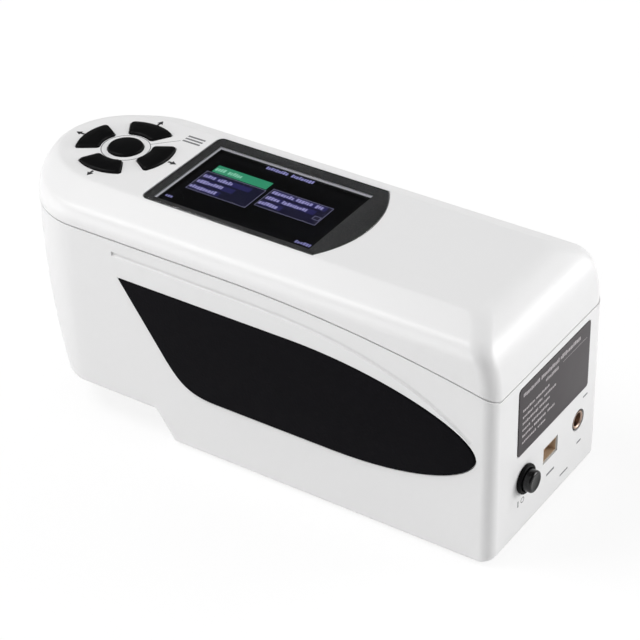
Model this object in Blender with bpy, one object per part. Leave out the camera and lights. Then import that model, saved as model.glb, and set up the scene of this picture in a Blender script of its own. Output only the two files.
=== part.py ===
"""Portable colorimeter, modelled at rest on a table.

Metres, +Z up. The nose with the measuring port points along -X, the end with the
sockets along +X, and the display reads from the -Y side. The origin is on the table,
under the middle of the instrument's box, power button included.
"""

import math

import bmesh
import bpy

# Body
BODY_LENGTH = 0.180
BODY_WIDTH = 0.067
BODY_HEIGHT = 0.0805
FOOT_HEIGHT = 0.0008
WALL = 0.0022
FIT_GAP = 0.0003
CUT_OVERRUN = 0.002

# Plan of the nose and of the corners
NOSE_LENGTH = 0.0285
NOSE_POWER = 2.04
CASE_CORNER_RADIUS = 0.004
COVER_CORNER_RADIUS = 0.005

# Parting line between case and cover
COVER_DEPTH = 0.0107
PARTING_DIP = 0.0101
PARTING_DIP_LENGTH = 0.095
PARTING_END_DROP = 0.0014
LIP_HEIGHT = 0.0009
LIP_THICKNESS = 0.0009

# Underside of the case
NOSE_UNDERSIDE_HEIGHT = 0.0102
NOSE_UNDERSIDE_LENGTH = 0.057
STEP_RUN = 0.007
NOSE_RAKE = 0.0095
RAKE_POWER = 3
BOTTOM_FILLET = 0.0015
END_FILLET = 0.003
LEVEL_MARGIN = 0.003

# Top of the cover
SHOULDER_INSET = 0.012
SHOULDER_ANGLE = math.radians(25.0)
SHOULDER_SHARES = (0.0, 0.12, 0.42, 1.0)
SIDE_FILLET = 0.006
NOSE_FILLET = 0.0045
PORT_CURVE_LENGTH = 0.014
PORT_CURVE_HEIGHT = 0.0205

# Grip pads and the grooves over them
GRIP_START = 0.0461
GRIP_TO_PORT = 0.0057
GRIP_BOTTOM = 0.0218
GRIP_TO_TOP = 0.0239
GRIP_RECESS = 0.0012
GRIP_THICKNESS = 0.0014
GRIP_EDGE = 0.0004
GRIP_HEEL_SHARES = ((0.497, 1.0), (0.746, 1.0), (1.0, 0.72), (1.0, 0.457))
GRIP_SOLE_SHARES = ((1.0, 0.457), (0.998, 0.265), (0.858, 0.006), (0.616, 0.0))
GRIP_TOE_SHARES = ((0.272, 0.0), (0.192, 0.0), (0.166, 0.106), (0.131, 0.283))
GROOVE_RADIUS = 0.0006
GROOVE_LEAD_SHARES = ((-0.017, 1.243), (0.11, 1.243), (0.26, 1.235), (0.42, 1.226))
GROOVE_TAIL_SHARES = ((0.42, 1.226), (0.69, 1.2), (0.855, 1.01), (0.988, 0.62))

# Keys
KEY_SIDE_MARGIN = 0.0174
KEY_NOSE_MARGIN = 0.0092
MENU_KEY_SHARE = 0.354
ARC_KEY_INNER_SHARE = 0.534
ARC_KEY_HALF_ANGLE = math.radians(31.0)
ARC_KEY_CORNER = 0.0018
KEY_RISE = 0.0012
KEY_EDGE = 0.0004
KEY_FLANGE = 0.0008
KEY_FLANGE_REACH = 0.0009
KEY_PLUNGER_LENGTH = 0.001
KEY_PLUNGER_RADIUS = 0.0014
KEY_TRAVEL = 0.0008
KEY_MAT_REACH = 0.0019
KEY_MAT_THICKNESS = 0.0008
KEY_DOME_RADIUS = 0.0022
KEY_DOME_HEIGHT = 0.0003
KEY_BOARD_REACH_X = 0.0014
KEY_BOARD_REACH_Y = 0.0044
KEY_BOARD_CORNER = 0.006
KEY_BOARD_THICKNESS = 0.0015
KEY_BOARD_OFFSET = 0.0002
KEY_POST_REACH = 0.0044
KEY_POST_ANGLE = math.radians(60.0)
KEY_POST_RADIUS = 0.002
KEY_POST_TOP_DEPTH = 0.0016

# Display window and what lies under it
WINDOW_KEY_GAP = 0.006
WINDOW_TO_PORT = 0.0692
WINDOW_MARGIN = 0.0123
WINDOW_BULGE = 0.0068
WINDOW_CORNER = 0.0022
WINDOW_THICKNESS = 0.0012
WINDOW_POCKET = 0.0014
SIGHT_RIM_END = 0.003
SIGHT_RIM_SIDE = 0.0034
SIGHT_OFFSET = 0.0008
GASKET_THICKNESS = 0.0005
GASKET_RIM = 0.0024
DISPLAY_RIM = 0.0027
DISPLAY_THICKNESS = 0.0040
PANEL_RIM = 0.0015
PANEL_THICKNESS = 0.0012
RIBBON_WIDTH = 0.018
RIBBON_THICKNESS = 0.0004
RIBBON_REACH = 0.009
RIBBON_RISE = 0.0012

# Boards and their screws
BOARD_THICKNESS = 0.0016
MAIN_BOARD_START = 0.058
MAIN_BOARD_TO_PORT = 0.032
MAIN_BOARD_MARGIN = 0.008
MAIN_POST_GAP = 0.0062
MAIN_POST_END_MARGIN = 0.005
MAIN_POST_SIDE_MARGIN = 0.0065
MAIN_POST_RADIUS = 0.0024
MAIN_POST_TOP_DEPTH = 0.0012
BOARD_SCREW_RADIUS = 0.0008
BOARD_SCREW_LENGTH = 0.0035
BOARD_SCREW_HEAD_RADIUS = 0.0017
BOARD_SCREW_HEAD_HEIGHT = 0.0012
BOARD_SCREW_SOCKET = 0.0006
SOUNDER_RADIUS = 0.0048
SOUNDER_HEIGHT = 0.003
SOUNDER_BORE = 0.0011
SOUNDER_SHARE = 0.8
CHIP_START_SHARES = ((0.1, 0.3), (0.1, 0.68), (0.34, 0.62), (0.48, 0.18), (0.62, 0.6), (0.9, 0.36))
CHIP_SIZES = (
    (0.012, 0.012, 0.0014),
    (0.010, 0.007, 0.0012),
    (0.014, 0.008, 0.0014),
    (0.008, 0.008, 0.0020),
    (0.011, 0.009, 0.0014),
    (0.005, 0.010, 0.0025),
)

# Case screws, from below through the case into the cover
CASE_SCREW_MARGIN = 0.0085
CASE_SCREW_FRONT = 0.052
CASE_SCREW_TO_PORT = 0.026
CASE_SCREW_RADIUS = 0.0015
CASE_SCREW_LENGTH = 0.012
CASE_SCREW_HEAD_RADIUS = 0.0026
CASE_SCREW_HEAD_HEIGHT = 0.002
CASE_SCREW_SOCKET = 0.0011
PILLAR_RADIUS = 0.004
PILLAR_TO_TOP = 0.0289
PILLAR_CROWN = 0.006
BOSS_RADIUS = 0.0033
BOSS_TOP_DEPTH = 0.0035

# Battery, its bay and its door
BAY_START = 0.069
BAY_TO_PORT = 0.0449
BAY_MARGIN = 0.0155
BAY_HEIGHT = 0.0215
BAY_WALL = 0.0012
BATTERY_HEADROOM = 0.0029
DOOR_LAP_FRONT = 0.0045
DOOR_LAP_REAR = 0.0019
DOOR_THICKNESS = 0.0016
DOOR_POCKET = 0.002
DOOR_RAIL_REACH = 0.0012
DOOR_RAIL_THICKNESS = 0.0007
DOOR_RAIL_SHARE = 0.3
DOOR_FRAME_MARGIN = 0.0024
DOOR_FRAME_THICKNESS = 0.0036
DOOR_RIDGE_COUNT = 4
DOOR_RIDGE_WIDTH = 0.0008
DOOR_RIDGE_LENGTH = 0.014
DOOR_RIDGE_DEPTH = 0.0004
CONTACT_THICKNESS = 0.0026
CONTACT_WIDTH = 0.016
CONTACT_HEIGHT = 0.012
LEAF_COUNT = 3
LEAF_WIDTH = 0.0026
LEAF_DEPTH = 0.0005
LEAD_RADIUS = 0.001
LEAD_RISE = 0.008
LEAD_POINTS = 16

# Feet
FOOT_RADIUS = 0.0035
FOOT_RECESS = 0.0004
FOOT_MARGIN = 0.0085
FOOT_FRONT = 0.073
FOOT_TO_PORT = 0.011

# Port end
PORT_BOARD_FROM_END = 0.018
PORT_BOARD_LOW = 0.0042
PORT_BOARD_HEIGHT = 0.029
PORT_BOARD_NEAR_MARGIN = 0.013
PORT_BOARD_FAR_MARGIN = 0.007
PORT_RIB_THICKNESS = 0.0009
PORT_RIB_HEIGHT = 0.005
SOCKET_HEIGHT = 0.021
JACK_MARGIN = 0.0137
JACK_BODY_WIDTH = 0.009
JACK_BODY_HEIGHT = 0.010
JACK_NOSE_RADIUS = 0.0034
JACK_BORE_RADIUS = 0.0027
JACK_BORE_DEPTH = 0.009
JACK_PIN_RADIUS = 0.0008
JACK_PIN_SETBACK = 0.0015
DATA_Y = 0.0022
DATA_WIDTH = 0.0084
DATA_HEIGHT = 0.0054
DATA_SHELL = 0.0005
DATA_DEPTH = 0.009
DATA_TONGUE_LENGTH = 0.0035
DATA_TONGUE_THICKNESS = 0.0012
DATA_TONGUE_MARGIN = 0.001
POWER_MARGIN = 0.0195
POWER_CAP_RADIUS = 0.0036
POWER_CAP_REACH = 0.004
POWER_CAP_EDGE = 0.0005
POWER_CAP_LENGTH = 0.0080
POWER_TRAVEL = 0.0025
POWER_STEM_RADIUS = 0.0015
POWER_STEM_LENGTH = 0.0052
POWER_TRIM_RADIUS = 0.0049
POWER_TRIM_THICKNESS = 0.0011
POWER_TRIM_EDGE = 0.0003
POWER_NECK_RADIUS = 0.0043
POWER_SWITCH_SIZE = 0.010
POWER_SWITCH_LENGTH = 0.0090
PLATE_MARGIN = 0.0118
PLATE_CENTRE_Y = 0.0030
PLATE_BOTTOM = 0.0313
PLATE_TO_TOP = 0.0249
PLATE_CORNER = 0.0012
PLATE_THICKNESS = 0.0004
PLATE_RECESS = 0.0005

# Measuring button on the far side
MEASURE_FROM_NOSE = 0.036
MEASURE_TO_TOP = 0.0269
MEASURE_RADIUS = 0.0055
MEASURE_EDGE = 0.0003
MEASURE_FLANGE = 0.001
MEASURE_FLANGE_REACH = 0.001
MEASURE_PLUNGER_RADIUS = 0.0015
MEASURE_PLUNGER_LENGTH = 0.0005
MEASURE_TRAVEL = 0.0012
MEASURE_SWITCH_SIZE = 0.006
MEASURE_SWITCH_HEIGHT = 0.0022
MEASURE_BOARD_LENGTH = 0.022
MEASURE_BOARD_HEIGHT = 0.011
MEASURE_BOARD_THICKNESS = 0.0012
MEASURE_POST_SPACING = 0.018
MEASURE_POST_RADIUS = 0.0018
MEASURE_PEG_RADIUS = 0.0009

# Optics
OPTICS_FROM_NOSE = 0.031
BRACKET_THICKNESS = 0.0015
BRACKET_FRONT = 0.0155
BRACKET_REAR = 0.020
BRACKET_WIDTH = 0.038
BRACKET_CORNER = 0.006
BRACKET_BORE = 0.0078
SPHERE_SHARE = 0.23
SPHERE_WALL = 0.002
SPHERE_NECK_RADIUS = 0.011
SPHERE_NECK_SINK = 0.001
SPHERE_SAMPLE_RADIUS = 0.0065
SPHERE_FLANGE_REACH = 0.0035
SPHERE_FLANGE = 0.002
SPHERE_SCREW_MARGIN = 0.0018
SPHERE_SCREW_COUNT = 2
SPHERE_SCREW_TURN = math.radians(45.0)
SPHERE_SCREW_RADIUS = 0.0006
SPHERE_SCREW_HEAD_RADIUS = 0.0013
SPHERE_SCREW_HEAD_HEIGHT = 0.001
SPHERE_SCREW_SOCKET = 0.0005
VIEW_ANGLE = math.radians(8.0)
BARREL_RADIUS = 0.005
BARREL_BORE = 0.0035
BARREL_LENS_BORE = 0.0042
BARREL_INSERT = 0.0022
BARREL_FLANGE_RADIUS = 0.0065
BARREL_FLANGE = 0.0012
BARREL_KEY_GAP = 0.0106
LENS_THICKNESS = 0.0014
LENS_CROWN = 0.0004
SENSOR_BOARD_SIZE = 0.018
SENSOR_BOARD_THICKNESS = 0.0012
LAMP_RISE = 0.0085
LAMP_RADIUS = 0.004
LAMP_BORE = 0.003
LAMP_INSERT = 0.0015
LAMP_WALL_GAP = 0.0033
LAMP_FLANGE_RADIUS = 0.0052
LAMP_FLANGE = 0.0012
LAMP_FLANGE_START = 0.0026
LAMP_BOARD_SIZE = 0.013
LAMP_BOARD_THICKNESS = 0.0012
PORT_NECK_RADIUS = 0.010
PORT_BORE_RADIUS = 0.0063
PORT_FLANGE_RADIUS = 0.017
PORT_FLANGE = 0.002
PORT_BODY_RADIUS = 0.0115
PORT_RING_RADIUS = 0.0121
PORT_RING_THICKNESS = 0.0026
PORT_RING_SPIGOT = 0.0024
PORT_RING_EDGE = 0.0006
APERTURE_RADIUS = 0.004
GLASS_THICKNESS = 0.001
PORT_SCREW_CIRCLE = 0.0140
PORT_SCREW_COUNT = 3
PORT_SCREW_RADIUS = 0.0008
PORT_SCREW_HEAD_RADIUS = 0.0018
PORT_SCREW_HEAD_HEIGHT = 0.0007
PORT_SCREW_SINK = 0.0011
PORT_SCREW_SOCKET = 0.0006

# Fineness of the round shapes
NOSE_STEPS = 12
SIDE_STEPS = 7
CORNER_STEPS = 5
FILLET_STEPS = 4
WALL_STEPS = 3
LEVEL_STEPS = 4
BOTTOM_STEPS = 3
RADIAL_STEPS = 24
SMALL_STEPS = 12
SPHERE_STEPS = 6
CURVE_STEPS = 7
SMOOTH_ANGLE = math.radians(32.0)

# Places worked out from the sizes
NOSE_TIP_X = -(BODY_LENGTH + POWER_CAP_REACH) / 2
PORT_END_X = NOSE_TIP_X + BODY_LENGTH
NOSE_ROOT_X = NOSE_TIP_X + NOSE_LENGTH
STEP_TOP_X = NOSE_TIP_X + NOSE_UNDERSIDE_LENGTH
STEP_FOOT_X = STEP_TOP_X + STEP_RUN
SIDE_Y = BODY_WIDTH / 2
TOP_Z = FOOT_HEIGHT + BODY_HEIGHT
CEILING_Z = TOP_Z - WALL
PARTING_Z = TOP_Z - COVER_DEPTH
NOSE_UNDERSIDE_Z = FOOT_HEIGHT + NOSE_UNDERSIDE_HEIGHT
NOSE_FLOOR_Z = NOSE_UNDERSIDE_Z + WALL
LEVEL_TOP_Z = PARTING_Z - PARTING_DIP - PARTING_END_DROP - LEVEL_MARGIN
FLOOR_Z = FOOT_HEIGHT + WALL
SHOULDER_DROP = (SHOULDER_INSET - SIDE_FILLET * (1 - math.sin(SHOULDER_ANGLE))) * math.tan(SHOULDER_ANGLE)
SIDE_CURVE_DEPTH = SHOULDER_DROP + SIDE_FILLET * math.cos(SHOULDER_ANGLE)
GRIP_LENGTH = BODY_LENGTH - GRIP_START - GRIP_TO_PORT
GRIP_HEIGHT = BODY_HEIGHT - GRIP_BOTTOM - GRIP_TO_TOP
OPTICS_X = NOSE_TIP_X + OPTICS_FROM_NOSE

# Places round the keys
ARC_KEY_OUTER = SIDE_Y - KEY_SIDE_MARGIN
ARC_KEY_INNER = ARC_KEY_OUTER * ARC_KEY_INNER_SHARE
MENU_KEY_RADIUS = ARC_KEY_OUTER * MENU_KEY_SHARE
KEY_MAT_RADIUS = ARC_KEY_OUTER + KEY_MAT_REACH
KEY_X = NOSE_TIP_X + KEY_NOSE_MARGIN + ARC_KEY_OUTER
KEY_FLANGE_TOP_Z = CEILING_Z - FIT_GAP
KEY_FLANGE_Z = KEY_FLANGE_TOP_Z - KEY_FLANGE
KEY_PLUNGER_Z = KEY_FLANGE_Z - KEY_PLUNGER_LENGTH
KEY_DOME_Z = KEY_PLUNGER_Z - KEY_TRAVEL - FIT_GAP
KEY_MAT_TOP_Z = KEY_DOME_Z - KEY_DOME_HEIGHT
KEY_MAT_Z = KEY_MAT_TOP_Z - KEY_MAT_THICKNESS
KEY_BOARD_TOP_Z = KEY_MAT_Z - FIT_GAP
KEY_BOARD_Z = KEY_BOARD_TOP_Z - KEY_BOARD_THICKNESS

# Places round the display and the main board
WINDOW_X = KEY_X + ARC_KEY_OUTER + WINDOW_KEY_GAP
WINDOW_END_X = PORT_END_X - WINDOW_TO_PORT
WINDOW_WIDTH = BODY_WIDTH - 2 * WINDOW_MARGIN
SIGHT_LENGTH = WINDOW_END_X - WINDOW_X - 2 * SIGHT_RIM_END
SIGHT_WIDTH = WINDOW_WIDTH - 2 * SIGHT_RIM_SIDE
DISPLAY_X = (WINDOW_X + WINDOW_END_X) / 2
DISPLAY_LENGTH = SIGHT_LENGTH + 2 * DISPLAY_RIM
DISPLAY_WIDTH = SIGHT_WIDTH + 2 * DISPLAY_RIM
PANEL_LENGTH = SIGHT_LENGTH + 2 * PANEL_RIM
PANEL_WIDTH = SIGHT_WIDTH + 2 * PANEL_RIM
DISPLAY_END_X = DISPLAY_X + DISPLAY_LENGTH / 2
GASKET_TOP_Z = CEILING_Z - FIT_GAP
DISPLAY_TOP_Z = GASKET_TOP_Z - GASKET_THICKNESS - FIT_GAP
DISPLAY_BOTTOM_Z = DISPLAY_TOP_Z - DISPLAY_THICKNESS
MAIN_BOARD_TOP_Z = DISPLAY_BOTTOM_Z - FIT_GAP
MAIN_BOARD_Z = MAIN_BOARD_TOP_Z - BOARD_THICKNESS
MAIN_BOARD_X = NOSE_TIP_X + MAIN_BOARD_START
MAIN_BOARD_LENGTH = BODY_LENGTH - MAIN_BOARD_START - MAIN_BOARD_TO_PORT
MAIN_BOARD_WIDTH = BODY_WIDTH - 2 * MAIN_BOARD_MARGIN

# Places in the lower case
CASE_SCREW_Y = SIDE_Y - CASE_SCREW_MARGIN
FOOT_Y = SIDE_Y - FOOT_MARGIN
PILLAR_Z = TOP_Z - PILLAR_TO_TOP
CASE_SCREW_SEAT_Z = PILLAR_Z - PILLAR_CROWN
BAY_X = NOSE_TIP_X + BAY_START
BAY_END_X = PORT_END_X - BAY_TO_PORT
BAY_WIDTH = BODY_WIDTH - 2 * BAY_MARGIN
DOOR_X = BAY_X - DOOR_LAP_FRONT
DOOR_END_X = BAY_END_X + DOOR_LAP_REAR
POCKET_Z = FOOT_HEIGHT + DOOR_POCKET
BAY_TOP_Z = POCKET_Z + BAY_HEIGHT
DOOR_Z = POCKET_Z - FIT_GAP - DOOR_THICKNESS
CONTACT_X = BAY_END_X - FIT_GAP - CONTACT_THICKNESS

# Places at the port end
PORT_INNER_X = PORT_END_X - WALL
PORT_BOARD_X = PORT_END_X - PORT_BOARD_FROM_END
PORT_BOARD_Y = -SIDE_Y + PORT_BOARD_NEAR_MARGIN
PORT_BOARD_END_Y = SIDE_Y - PORT_BOARD_FAR_MARGIN
PORT_PARTS_X = PORT_BOARD_X + BOARD_THICKNESS + FIT_GAP
SOCKET_Z = FOOT_HEIGHT + SOCKET_HEIGHT
JACK_Y = SIDE_Y - JACK_MARGIN
POWER_Y = -SIDE_Y + POWER_MARGIN

# Places round the measuring button
MEASURE_X = NOSE_TIP_X + MEASURE_FROM_NOSE
MEASURE_Z = TOP_Z - MEASURE_TO_TOP
MEASURE_REACH = GRIP_THICKNESS - GRIP_RECESS + FIT_GAP
MEASURE_FLANGE_Y = SIDE_Y - WALL - FIT_GAP
MEASURE_PLUNGER_Y = MEASURE_FLANGE_Y - MEASURE_FLANGE - MEASURE_PLUNGER_LENGTH
MEASURE_SWITCH_Y = MEASURE_PLUNGER_Y - MEASURE_TRAVEL - FIT_GAP
MEASURE_BOARD_Y = MEASURE_SWITCH_Y - MEASURE_SWITCH_HEIGHT

# Places in the optics
BRACKET_Z = NOSE_FLOOR_Z + FIT_GAP
SPHERE_OUTER = BODY_HEIGHT * SPHERE_SHARE
SPHERE_INNER = SPHERE_OUTER - SPHERE_WALL
SPHERE_NECK_HEIGHT = SPHERE_OUTER - SPHERE_NECK_SINK
SPHERE_FLANGE_RADIUS = SPHERE_OUTER + SPHERE_FLANGE_REACH
SPHERE_Z = BRACKET_Z + BRACKET_THICKNESS + FIT_GAP + SPHERE_NECK_HEIGHT


def clear_scene():
    """Remove every object that the file opens with."""
    for obj in list(bpy.data.objects):
        bpy.data.objects.remove(obj)


def finish(name, colour, roughness, metallic=0.0):
    """A plain surface material."""
    surface = bpy.data.materials.new(name)
    surface.use_nodes = True
    shader = surface.node_tree.nodes["Principled BSDF"]
    shader.inputs["Base Color"].default_value = (*colour, 1.0)
    shader.inputs["Roughness"].default_value = roughness
    shader.inputs["Metallic"].default_value = metallic
    return surface


def place(name, shape, surface=None, location=(0.0, 0.0, 0.0), tilt=0.0):
    """Make an object of a bmesh, with its faces pointing out; tilt turns it about +Y."""
    bmesh.ops.recalc_face_normals(shape, faces=shape.faces)
    mesh = bpy.data.meshes.new(name)
    shape.to_mesh(mesh)
    shape.free()
    mesh.shade_smooth()
    mesh.set_sharp_from_angle(angle=SMOOTH_ANGLE)
    obj = bpy.data.objects.new(name, mesh)
    obj.location = location
    obj.rotation_euler = (0.0, tilt, 0.0)
    bpy.context.scene.collection.objects.link(obj)
    if surface is None:
        obj.hide_render = True
        obj.display_type = "WIRE"
    else:
        mesh.materials.append(surface)
    return obj


def place_copies(name, shape, surface, spots):
    """Make an object at each spot, numbered from 1, that all share the mesh of a bmesh."""
    first = place(name + "_1", shape, surface, spots[0])
    for number, spot in enumerate(spots[1:], 2):
        obj = bpy.data.objects.new(f"{name}_{number}", first.data)
        obj.location = spot
        bpy.context.scene.collection.objects.link(obj)


def combine(target, name, shape, operation, location=(0.0, 0.0, 0.0), tilt=0.0):
    """Join a shape to an object, or cut it out of the object."""
    tool = place(name, shape, location=location, tilt=tilt)
    modifier = target.modifiers.new(name, "BOOLEAN")
    modifier.operation = operation
    modifier.solver = "EXACT"
    modifier.object = tool


def join(target, name, shape):
    """Fuse a shape to an object."""
    combine(target, name, shape, "UNION")


def cut(target, name, shape, location=(0.0, 0.0, 0.0), tilt=0.0):
    """Cut a shape out of an object."""
    combine(target, name, shape, "DIFFERENCE", location, tilt)


def round_edges(obj, width, angle=math.radians(50.0)):
    """Break the sharp edges of an object."""
    modifier = obj.modifiers.new("edges", "BEVEL")
    modifier.width = width
    modifier.segments = 1
    modifier.limit_method = "ANGLE"
    modifier.angle_limit = angle


def oriented(axis, along, first, second):
    """A point from its place along an axis and its two other coordinates, in X, Y, Z order."""
    if axis == "X":
        return (along, first, second)
    if axis == "Y":
        return (first, along, second)
    return (first, second, along)


def stack(shape, sections, axis="Z"):
    """A closed body through outlines of equal point counts, each (place on axis, points)."""
    rings = []
    for along, outline in sections:
        rings.append([shape.verts.new(oriented(axis, along, u, v)) for u, v in outline])
    for lower, upper in zip(rings, rings[1:]):
        for i in range(len(lower)):
            j = (i + 1) % len(lower)
            shape.faces.new((lower[i], lower[j], upper[j], upper[i]))
    shape.faces.new(rings[0][::-1])
    shape.faces.new(rings[-1])


def add_box(shape, low, high):
    """A box between two corners."""
    outline = ((low[0], low[1]), (high[0], low[1]), (high[0], high[1]), (low[0], high[1]))
    stack(shape, ((low[2], outline), (high[2], outline)))


def circle(radius, centre=(0.0, 0.0), steps=RADIAL_STEPS):
    """Points round a circle."""
    angles = [2 * math.pi * i / steps for i in range(steps)]
    return [(centre[0] + radius * math.cos(a), centre[1] + radius * math.sin(a)) for a in angles]


def add_cylinder(shape, radius, low, high, centre=(0.0, 0.0), axis="Z", steps=SMALL_STEPS):
    """A cylinder along an axis, between two places on it."""
    outline = circle(radius, centre, steps)
    stack(shape, ((low, outline), (high, outline)), axis)


def add_turned(shape, profile, centre=(0.0, 0.0), axis="Z", steps=RADIAL_STEPS):
    """A turned body. The profile is a closed loop of (radius, place on axis); radius 0 is on the axis."""
    rings = []
    for radius, along in profile:
        if radius == 0:
            rings.append([shape.verts.new(oriented(axis, along, *centre))] * steps)
        else:
            points = circle(radius, centre, steps)
            rings.append([shape.verts.new(oriented(axis, along, u, v)) for u, v in points])
    for near, far in zip(rings, rings[1:] + rings[:1]):
        for i in range(steps):
            j = (i + 1) % steps
            corners = list(dict.fromkeys((near[i], near[j], far[j], far[i])))
            if len(corners) > 2:
                shape.faces.new(corners)


def rectangle(low, high, corner=0.0):
    """Points round a rectangle, with round corners where a radius is given."""
    if corner == 0:
        return [(low[0], low[1]), (high[0], low[1]), (high[0], high[1]), (low[0], high[1])]
    centres = (
        (high[0] - corner, low[1] + corner, -math.pi / 2),
        (high[0] - corner, high[1] - corner, 0.0),
        (low[0] + corner, high[1] - corner, math.pi / 2),
        (low[0] + corner, low[1] + corner, math.pi),
    )
    points = []
    for x, y, start in centres:
        for i in range(CORNER_STEPS + 1):
            angle = start + math.pi / 2 * i / CORNER_STEPS
            points.append((x + corner * math.cos(angle), y + corner * math.sin(angle)))
    return points


def bezier(control, steps=CURVE_STEPS):
    """Points along a cubic curve through its first and last control points."""
    points = []
    for i in range(steps + 1):
        t = i / steps
        shares = ((1 - t) ** 3, 3 * t * (1 - t) ** 2, 3 * t * t * (1 - t), t ** 3)
        points.append(tuple(sum(s * p[k] for s, p in zip(shares, control)) for k in range(2)))
    return points


def sector(inner, outer, half_angle, corner):
    """Outline of an arc key that is centred on +X, with round corners."""
    def polar(radius, angle):
        return (radius * math.cos(angle), radius * math.sin(angle))

    def arc(radius, sign):
        reach = half_angle - corner / radius
        return [polar(radius, sign * reach * (2 * i / CURVE_STEPS - 1)) for i in range(CURVE_STEPS + 1)]

    def turn(radius, side, inwards, leaving):
        first = polar(radius, side * (half_angle - corner / radius))
        sharp = polar(radius, side * half_angle)
        last = polar(radius + inwards * corner, side * half_angle)
        middle = tuple((a + 2 * b + c) / 4 for a, b, c in zip(first, sharp, last))
        return [middle, last] if leaving else [last, middle]

    return (
        arc(outer, 1)
        + turn(outer, 1, -1, True)
        + turn(inner, 1, 1, False)
        + arc(inner, -1)
        + turn(inner, -1, 1, True)
        + turn(outer, -1, -1, False)
    )


def turned_outline(outline, angle):
    """An outline turned about its origin."""
    c, s = math.cos(angle), math.sin(angle)
    return [(x * c - y * s, x * s + y * c) for x, y in outline]


def moved_outline(outline, x, y):
    """An outline moved to a place."""
    return [(u + x, v + y) for u, v in outline]


def parting_z(x, port=0.0):
    """Height of the parting line, which is level, then dips, and drops a little round the port end."""
    share = max(0.0, 1 - (PORT_END_X - x) / PARTING_DIP_LENGTH)
    return PARTING_Z - PARTING_DIP * share * share - PARTING_END_DROP * port


def underside_z(x):
    """Height of the case's underside, with the raised nose and the slanted step."""
    share = min(1.0, max(0.0, (STEP_FOOT_X - x) / STEP_RUN))
    return FOOT_HEIGHT + NOSE_UNDERSIDE_HEIGHT * share


def nose_rake(z):
    """How far the case's nose has leant back at a height."""
    share = (PARTING_Z - z) / (PARTING_Z - NOSE_UNDERSIDE_Z)
    return NOSE_RAKE * share ** RAKE_POWER


def side_inset(depth, wall):
    """How far the cover's side, or its inside, lies in from the body's side at a depth below the top."""
    radius = SIDE_FILLET - wall
    if depth >= SIDE_CURVE_DEPTH:
        return wall
    if depth > SIDE_CURVE_DEPTH - radius * math.cos(SHOULDER_ANGLE):
        return SIDE_FILLET - math.sqrt(radius ** 2 - (SIDE_CURVE_DEPTH - depth) ** 2)
    return SHOULDER_INSET - (depth - wall / math.cos(SHOULDER_ANGLE)) / math.tan(SHOULDER_ANGLE)


def curve_inset(depth, wall, length, height):
    """The same at an end of the cover that is a quarter of an ellipse."""
    share = max(0.0, 1 - (depth - wall) / (height - wall))
    return wall + (length - wall) * (1 - math.sqrt(1 - share * share))


def half_plan(side, nose, port, corner):
    """Near half of the body's plan, set in at its side, nose and port end: (x, y, share of port end)."""
    half = SIDE_Y - side
    reach = NOSE_LENGTH - nose
    end = PORT_END_X - port
    points = []
    for i in range(NOSE_STEPS):
        angle = math.pi / 2 * i / NOSE_STEPS
        x = NOSE_ROOT_X - reach * math.cos(angle) ** (2 / NOSE_POWER)
        y = -half * math.sin(angle) ** (2 / NOSE_POWER)
        points.append((x, y, 0.0))
    points += [(x, -half, 0.0) for x in (NOSE_ROOT_X, STEP_TOP_X)]
    straight = end - corner - STEP_FOOT_X
    points += [(STEP_FOOT_X + straight * i / SIDE_STEPS, -half, 0.0) for i in range(SIDE_STEPS + 1)]
    for i in range(1, CORNER_STEPS + 1):
        angle = math.pi / 2 * i / CORNER_STEPS
        share = i / CORNER_STEPS
        x = end - corner + corner * math.sin(angle)
        y = -half + corner - corner * math.cos(angle)
        points.append((x, y, share * share * (3 - 2 * share)))
    return points


def body_ring(plan, height):
    """A level of a shell: its near half as points, with the height worked out at each."""
    return [(x, y, height(x, port)) for x, y, port in plan]


def shell(shape, rings):
    """A closed body through rings that are mirrored about the middle plane, capped at both ends."""
    near = [[shape.verts.new(p) for p in ring] for ring in rings]
    far = []
    for ring, half in zip(rings, near):
        far.append([half[0]] + [shape.verts.new((x, -y, z)) for x, y, z in ring[1:]])
    for level in range(len(rings) - 1):
        for half in (near, far):
            for a, b, c, d in zip(half[level], half[level][1:], half[level + 1][1:], half[level + 1]):
                shape.faces.new((a, b, c, d))
        shape.faces.new((near[level][-1], far[level][-1], far[level + 1][-1], near[level + 1][-1]))
    for level in (0, -1):
        shape.faces.new((near[level][0], near[level][1], far[level][1]))
        for i in range(1, len(near[level]) - 1):
            shape.faces.new((near[level][i], near[level][i + 1], far[level][i + 1], far[level][i]))


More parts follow.
